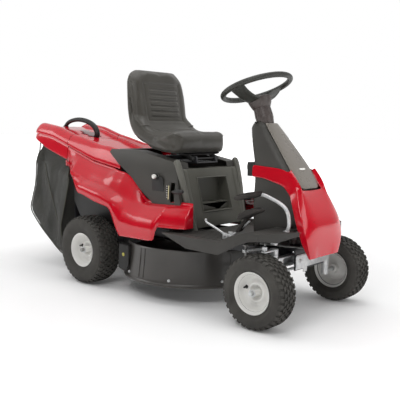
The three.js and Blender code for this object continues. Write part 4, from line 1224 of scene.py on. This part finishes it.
def collector_cover():
    places = [COVER_FRONT - step * 10 for step in range(29)]
    for turn in (0.15, 0.3, 0.45, 0.6, 0.72, 0.82, 0.9, 0.95, 0.985, 1.0):
        places.append(COVER_TURN - COVER_END * turn)
    rows = [section_at(cover_section, x) for x in places]
    back = COVER_TURN - COVER_END
    low = rounded(COVER_LOW, back, 20)
    last = rows[-1]
    for keep in (0.7, 0.35, 0.0):
        rows.append([(back + (1 - keep) * 5, y, low + (z - low) * keep) for _, y, z in last])
    skin = both_sides(rows)
    piece("collector_cover_skin", skin, RED, "collector", ["collector_cover"], 35)


def grip_recess():
    """A star-shaped panel on the cover, under the carrying handle, in darker red: painted shade for the
    hollow of the hand scoop.
    """
    middle_x = -796
    outline = [(-862, 0), (-846, 34), (-820, 26), (-800, 62), (-772, 34), (-742, 52), (-730, 0)]
    outline += [(x, -y) for x, y in outline[-2:0:-1]]
    rings = []
    for lift, spread in ((0.4, 1.0), (1.6, 0.96), (1.6, 0.5)):
        ring = []
        for x, y in outline:
            px = middle_x + (x - middle_x) * spread
            ring.append(at(px, y * spread, rounded(GROOVE, px, 30) + 43.5 + lift))
        rings.append(ring)
    star = capped(grid(rings, close_rows=True))
    piece("handle_grip_painted_shade", star, RECESS_SHADE_RED, "collector")


def collector_handle():
    path = [(-1040, 0, 838), (-1022, 0, 856), (-992, 0, 870), (-940, 0, 880), (-881, 0, 881), (-820, 0, 871)]
    path += [(-768, 0, 852), (-735, 0, 826), (-722, 0, 796), (-734, 0, 774), (-756, 0, 768), (-776, 0, 776)]
    bow = tube(path, 12, steps=6, sides=18, flat=1.35)
    base = [(0, -3), (17, -3), (18, 0), (15, 6), (11, 10), (0, 11)]
    foot = lathe(base, at(-1036, 0, 836), (0.4, 0, 1), 32)
    whole = merged(bow, foot)
    piece("collector_handle_skin", whole, BLACK, "collector", ["collector_handle"])


# The bag from the side: down its front, back along the bottom and up the rear.
BAG_SIDE = [(-716, 655), (-690, 610), (-668, 560), (-662, 525), (-690, 430), (-722, 330), (-742, 255)]
BAG_SIDE += [(-741, 180), (-736, 112), (-748, 92), (-790, 110), (-850, 154), (-940, 226), (-1020, 294)]
BAG_SIDE += [(-1044, 322), (-1050, 352), (-1028, 412), (-1002, 480), (-990, 540), (-983, 620), (-974, 690)]
BAG_SIDE += [(-962, 745)]
BAG_CENTRE = Vector((-850, 470))
BAG_TOP_HALF = 222
BAG_HALF = 258


def bag_outline():
    dense = []
    for a, b in zip(BAG_SIDE, BAG_SIDE[1:] + BAG_SIDE[:1]):
        count = 10 if b == BAG_SIDE[0] else 4
        for i in range(count):
            t = i / count
            dense.append((a[0] + (b[0] - a[0]) * t, a[1] + (b[1] - a[1]) * t))
    return dense


def bag_width(x, z):
    """Half the bag's width: narrow under the cover, full at the middle and a little drawn in below."""
    top = rounded(COVER_LOW, x, 20) if x < COVER_FRONT else 640
    above = (BAG_HALF - BAG_TOP_HALF) * smooth_step(top - 90, top - 4, z)
    below = 16 * (1 - smooth_step(90, 240, z))
    return BAG_HALF - above - below


def bag_fold(x, z, y):
    """Shallow folds that run down from the frame's corners, and slack between them."""
    down = max(0.0, (700 - z) / 600)
    fan = math.sin((x + 880) * 0.05 + down * 4.0 + y * 0.004) * 3.0 * down
    cloudy = noise.noise(Vector((x * 0.009, y * 0.008, z * 0.006))) * 9.0
    fine = noise.noise(Vector((x * 0.03 + 7, y * 0.03, z * 0.014))) * 2.4
    return fan + cloudy + fine


def bag_shell(outline):
    """The bag's band from side to side, slack in the middle and held at its ends and mouth."""
    rows = []
    shares = [1.0, 0.985, 0.94] + [0.85 - 0.1 * i for i in range(18)] + [-0.94, -0.985, -1.0]
    for share in shares:
        belly = (1 - share * share) * 5
        corner = 5 * max(0.0, (abs(share) - 0.93) / 0.07)
        row = []
        for x, z in outline:
            away = (Vector((x, z)) - BAG_CENTRE).normalized()
            slack = belly + bag_fold(x, z, share * 250) * min(1.0, (1 - abs(share)) * 3)
            if x > -745 or z > 640:
                slack = min(slack, 0)
            slack -= corner
            row.append(at(x + away.x * slack, share * bag_width(x, z), z + away.y * slack))
        rows.append(row)
    return grid(rows, close_rows=True)


def bag_end(outline, side):
    """One side of the bag: rings that shrink to its centre, a little hollow."""
    rings = []
    for k in range(13):
        t = k / 12
        ring = []
        for x, z in outline:
            p = Vector((x, z)) + (BAG_CENTRE - Vector((x, z))) * t
            sag = 10 * math.sin(math.pi * min(1.0, t * 1.3) * 0.5) - bag_fold(*p, side * 300)
            if k == 0:
                p -= (Vector((x, z)) - BAG_CENTRE).normalized() * 5
            ring.append(at(p.x, side * (bag_width(*p) - sag * min(1.0, t * 3)), p.y))
        rings.append(ring)
    return grid(rings, close_rows=True)


def collector_bag():
    outline = bag_outline()
    bag = facing_out(merged(bag_shell(outline), bag_end(outline, -1), bag_end(outline, 1)))
    cut_hole(bag, at(-765, -30, 300), at(-640, 170, 520), sideways=0.5)
    skin = with_modifiers(bag, subdivide(1), solidify(2.0))
    piece("collector_bag_cloth", skin, CLOTH, "collector", ["collector_bag"], 60)
    seams = []
    for side in (-1, 1):
        edge = [(x, side * (bag_width(x, z) + 0.5), z) for x, z in BAG_SIDE]
        seams.append(tube([*edge, edge[0]], 3.8, steps=4, sides=8))
        line = []
        for x, z in ((-905, 619), (-862, 500), (-818, 380), (-781, 282)):
            line.append((x, side * (bag_width(x, z) - 6 + bag_fold(x, z, side * 300) * 0.9), z))
        seams.append(tube(line, 2.6, steps=6, sides=8))
    piece("collector_bag_piping", merged(*seams), PIPING, "collector")


def bag_hooks():
    hooks = []
    for side in (-1, 1):
        for x in (-612, -594):
            wire = [(x, 268, 602), (x + 2, 274, 574), (x + 8, 270, 552), (x + 18, 264, 566)]
            hooks.append(tube([(px, side * y, z) for px, y, z in wire], 2.4, steps=5, sides=8))
    piece("bag_spring_hooks", merged(*hooks), ZINC, "chassis")


# ---------------------------------------------------------------- cutting deck
DECK_X = 100
DECK_BOTTOM = 85
DECK_TOP = DECK_BOTTOM + 118
DECK_WALL = 60


def round_deck(radius, degrees, z):
    """A point around the deck's middle and the direction outwards there."""
    a = math.radians(degrees)
    return (DECK_X + radius * math.cos(a), radius * math.sin(a), z), (math.cos(a), math.sin(a), 0)


def deck_section(tall):
    """The pan's section as (radius, z), with a wall that stands up to tall above its top."""
    top = DECK_TOP
    section = [(42, top), (150, top + 0.5), (300, top), (336, top), (341, top + 2), (344, top + 6)]
    section += [(346, max(tall - 3, top + 6)), (349, max(tall, top + 8)), (353, max(tall - 1, top + 7))]
    section += [(356, max(tall - 5, top + 3)), (360, (tall + 141) / 2 - 4), (368, 141), (371, 112)]
    section += [(372.5, 104), (375, 99), (379, 96), (380.5, 91), (379, 86.5), (375, 85), (371.5, 87)]
    section += [(369.5, 99), (365, 138), (356, top - 12), (344, top - 4), (300, top - 3), (42, top - 3)]
    return [*section, section[0]]


def deck_pan():
    rings = []
    for a in [*turns(144, -math.pi), math.pi]:
        wall = 1 - smooth_step(math.radians(128), math.radians(140), abs(a))
        section = deck_section(DECK_TOP + DECK_WALL * wall)
        rings.append([at(DECK_X + r * math.cos(a), r * math.sin(a), z) for r, z in section])
    pan = facing_out(grid(rings))
    cut_hole(pan, at(-420, 30, DECK_BOTTOM + 24), at(-180, 138, DECK_TOP - 8))
    piece("deck_pan", pan, DECK_PAINT, "deck", ["deck_shell"], 32)


def deck_details():
    bolts = []
    for angle in (-152, -112, -68, -28, 28, 68):
        spot, out = round_deck(371, angle, 118)
        bolts.append(bolt(*spot, out, 5.5))
    for angle in (-140, -90, -40, 40, 90, 140):
        spot, _ = round_deck(288, angle, DECK_TOP - 0.5)
        bolts.append(bolt(*spot, (0, 0, 1), 6.5))
    piece("deck_bolts", merged(*bolts), ZINC, "deck")
    wall = [(357, 252), (359, 220), (364, 176), (368.5, 140), (372, 112)]
    creases = []
    for angle in (-97, -92, -20, 20, 92):
        creases.append(tube([round_deck(r, angle, z)[0] for r, z in wall], 2.6, steps=4, sides=8))
    piece("deck_creases", merged(*creases), DECK_PAINT, "deck")
    hanger = prism([(-112, 250), (-118, 128), (-66, 112), (-40, 150), (-40, 250)], -352, -347, "y")
    plate = eased(merged(hanger, slab(-112, -44, -352, -300, 246, 251)), 1.5)
    piece("deck_hanger_plate", plate, BLACK, "deck")
    dot = [(0, 0), (9, 0), (9, 1.4), (7.5, 2.2), (0, 2.2)]
    spot = lathe(dot, at(-78, -352, 200), (0, -1, 0), 28)
    piece("deck_inspection_dot", spot, SPOT, "deck")


# ---------------------------------------------------------------- front axle, dash and levers
PLATE_FRONT = 802.6


def front_plate():
    outline = [(-118, 226), (-118, 284), (-110, 292), (110, 292), (120, 284), (152, 272), (152, 238)]
    outline += [(142, 230), (-28, 230), (-28, 208), (-58, 208), (-58, 226)]
    plate = eased(prism(outline, PLATE_FRONT - 4, PLATE_FRONT, "x"), 1.2)
    piece("front_bumper_plate", plate, ZINC, "chassis")
    bolts = [bolt(PLATE_FRONT, y, 262, (1, 0, 0), 8) for y in (-88, 88)]
    piece("front_plate_bolts", merged(*bolts), ZINC, "chassis")


def kingpin_caps():
    profile = [(0, 0), (15, 0), (16, 2), (16, 9), (12, 13), (0, 14)]
    for side, name in ((-1, "right"), (1, "left")):
        _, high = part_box(f"knuckle_{name}")
        centre = Vector((at(FRONT_AXLE, 0, 0).x, side * 215 * MM, high[2] - 2 * MM))
        cap = lathe(profile, centre, (0, 0, 1), 32)
        piece(f"kingpin_cap_{name}", cap, ZINC, f"{name}_knuckle")


def dash_and_levers():
    skin = softened("dash_panel", 5, 3)
    piece("dash_panel_skin", skin, BLACK, "chassis", ["dash_panel"], 35)
    ring = [(7, -1), (15, -1), (16, 0.5), (15, 3), (7.5, 3), (7, -1)]
    bezel = lathe(ring, at(470, -22, 660), (-1, 0, 0), 32)
    piece("key_bezel", bezel, ZINC, "chassis")
    profile = [(0, -10), (8, -10), (10, -6), (10.5, 0), (10, 6), (8, 10), (0, 10)]
    knob = lathe(profile, at(434, 16, 642), (0, 0, 1), 32)
    lever = merged(softened("throttle_lever", 0.8, 2), knob)
    piece("throttle_lever_skin", lever, BLACK, "throttle", ["throttle_lever"])


def seat_knob():
    low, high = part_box("seat_knob")
    half = (high[1] - low[1]) / MM / 2
    r = min(high[0] - low[0], high[2] - low[2]) / 2 / MM
    profile = [(0, -half), (r * 0.7, -half), (r * 0.95, -half + 3), (r, -half + 8), (r, -half + 14)]
    profile += [(r * 0.55, -half + 18), (r * 0.5, half - 6), (r * 0.8, half - 4), (r * 0.8, half), (0, half)]
    knob = lathe(profile, middle("seat_knob"), LEFT, 36)
    piece("seat_knob_skin", knob, ZINC, "clamp_knob", ["seat_knob"])


for build in (
    footboard,
    rocker_bracket,
    drive_rocker,
    brake_pedal,
    seat,
    seat_knob,
    seat_console,
    choke_knob,
    height_lever,
    seat_pedestal,
    rear_body,
    wheel_wells,
    collector_cover,
    grip_recess,
    collector_handle,
    collector_bag,
    bag_hooks,
    deck_pan,
    deck_details,
    front_plate,
    kingpin_caps,
    dash_and_levers,
):
    build()


# ---------------------------------------------------------------- camera, light and floor
def studio_light(name, place, aim, width, height, power):
    data = bpy.data.lights.new(name, "AREA")
    data.shape = "RECTANGLE"
    data.size = width
    data.size_y = height
    data.energy = power
    lamp = bpy.data.objects.new(name, data)
    lamp.location = place
    lamp.rotation_euler = (Vector(aim) - Vector(place)).to_track_quat("-Z", "Y").to_euler()
    bpy.context.scene.collection.objects.link(lamp)


CAMERA_PLACE = (2.3465, -2.388, 0.847)
CAMERA_TURN, CAMERA_DOWN, CAMERA_ROLL = 41.966, 6.743, 0.742  # degrees
CAMERA_LENS = 55.74


def camera():
    turn, down, roll = (math.radians(angle) for angle in (CAMERA_TURN, CAMERA_DOWN, CAMERA_ROLL))
    right = Vector((math.cos(turn), math.sin(turn), 0))
    up = Vector((-math.sin(turn) * math.sin(down), math.cos(turn) * math.sin(down), math.cos(down)))
    back = right.cross(up)
    leaned_right = right * math.cos(roll) + up * math.sin(roll)
    leaned_up = up * math.cos(roll) - right * math.sin(roll)
    data = bpy.data.cameras.new("view")
    data.lens = CAMERA_LENS
    data.sensor_width = 36
    seen = bpy.data.objects.new("view", data)
    frame_axes = Matrix((leaned_right, leaned_up, back)).transposed()
    seen.matrix_world = Matrix.Translation(CAMERA_PLACE) @ frame_axes.to_4x4()
    bpy.context.scene.collection.objects.link(seen)
    bpy.context.scene.camera = seen


def floor():
    reach = 40
    corners = [(-reach, -reach, 0), (reach, -reach, 0), (reach, reach, 0), (-reach, reach, 0)]
    ground = mesh_of(corners, [(0, 1, 2, 3)])
    made = bpy.data.objects.new("floor", ground)
    look = Look("studio_floor", 0.7, specular=0.2)
    look.colour("fbfbfb", "ffffff", 3.0)
    far = look.node("ShaderNodeVectorMath")
    far.operation = "LENGTH"
    look.link(look.place.outputs["Object"], far.inputs[0])
    glow = look.node("ShaderNodeMapRange")
    for name, value in (("From Min", 1.2), ("From Max", 5.0), ("To Min", 0.04), ("To Max", 0.9)):
        glow.inputs[name].default_value = value
    look.link(far.outputs["Value"], glow.inputs["Value"])
    look.shader.inputs["Emission Color"].default_value = (1, 1, 1, 1)
    look.link(glow.outputs["Result"], look.shader.inputs["Emission Strength"])
    ground.materials.append(look.material)
    bpy.context.scene.collection.objects.link(made)


def studio():
    world = bpy.data.worlds.new("studio")
    bpy.context.scene.world = world
    world.use_nodes = True
    nodes, links = world.node_tree.nodes, world.node_tree.links
    seen = nodes["Background"]
    seen.inputs["Color"].default_value = (1, 1, 1, 1)
    seen.inputs["Strength"].default_value = 1.0
    direction = nodes.new("ShaderNodeTexCoord")
    height = nodes.new("ShaderNodeVectorMath")
    height.operation = "DOT_PRODUCT"
    height.inputs[1].default_value = (-0.5, 0.55, 0.75)
    links.new(direction.outputs["Generated"], height.inputs[0])
    sky = nodes.new("ShaderNodeValToRGB")
    links.new(height.outputs["Value"], sky.inputs["Fac"])
    sky.color_ramp.elements[0].position = 0.1
    sky.color_ramp.elements[0].color = (0.12, 0.12, 0.125, 1)
    sky.color_ramp.elements[1].position = 0.6
    sky.color_ramp.elements[1].color = (1, 1, 1, 1)
    ambient = nodes.new("ShaderNodeBackground")
    ambient.inputs["Strength"].default_value = 0.8
    links.new(sky.outputs["Color"], ambient.inputs["Color"])
    rays = nodes.new("ShaderNodeLightPath")
    either = nodes.new("ShaderNodeMixShader")
    links.new(rays.outputs["Is Camera Ray"], either.inputs[0])
    links.new(ambient.outputs["Background"], either.inputs[1])
    links.new(seen.outputs["Background"], either.inputs[2])
    links.new(either.outputs["Shader"], nodes["World Output"].inputs["Surface"])
    bpy.context.scene.view_settings.view_transform = "Standard"
    studio_light("key", (1.6, -3.2, 3.4), (0, 0, 0.5), 2.4, 1.6, 55)
    studio_light("front", (4.2, 0.6, 2.0), (0.4, 0, 0.5), 1.6, 2.2, 30)
    studio_light("rear", (-3.4, -2.2, 2.6), (-0.4, 0, 0.6), 1.6, 1.6, 24)
    studio_light("top", (0, 0, 4.0), (0, 0, 0.5), 2.6, 2.2, 40)


camera()
floor()
studio()
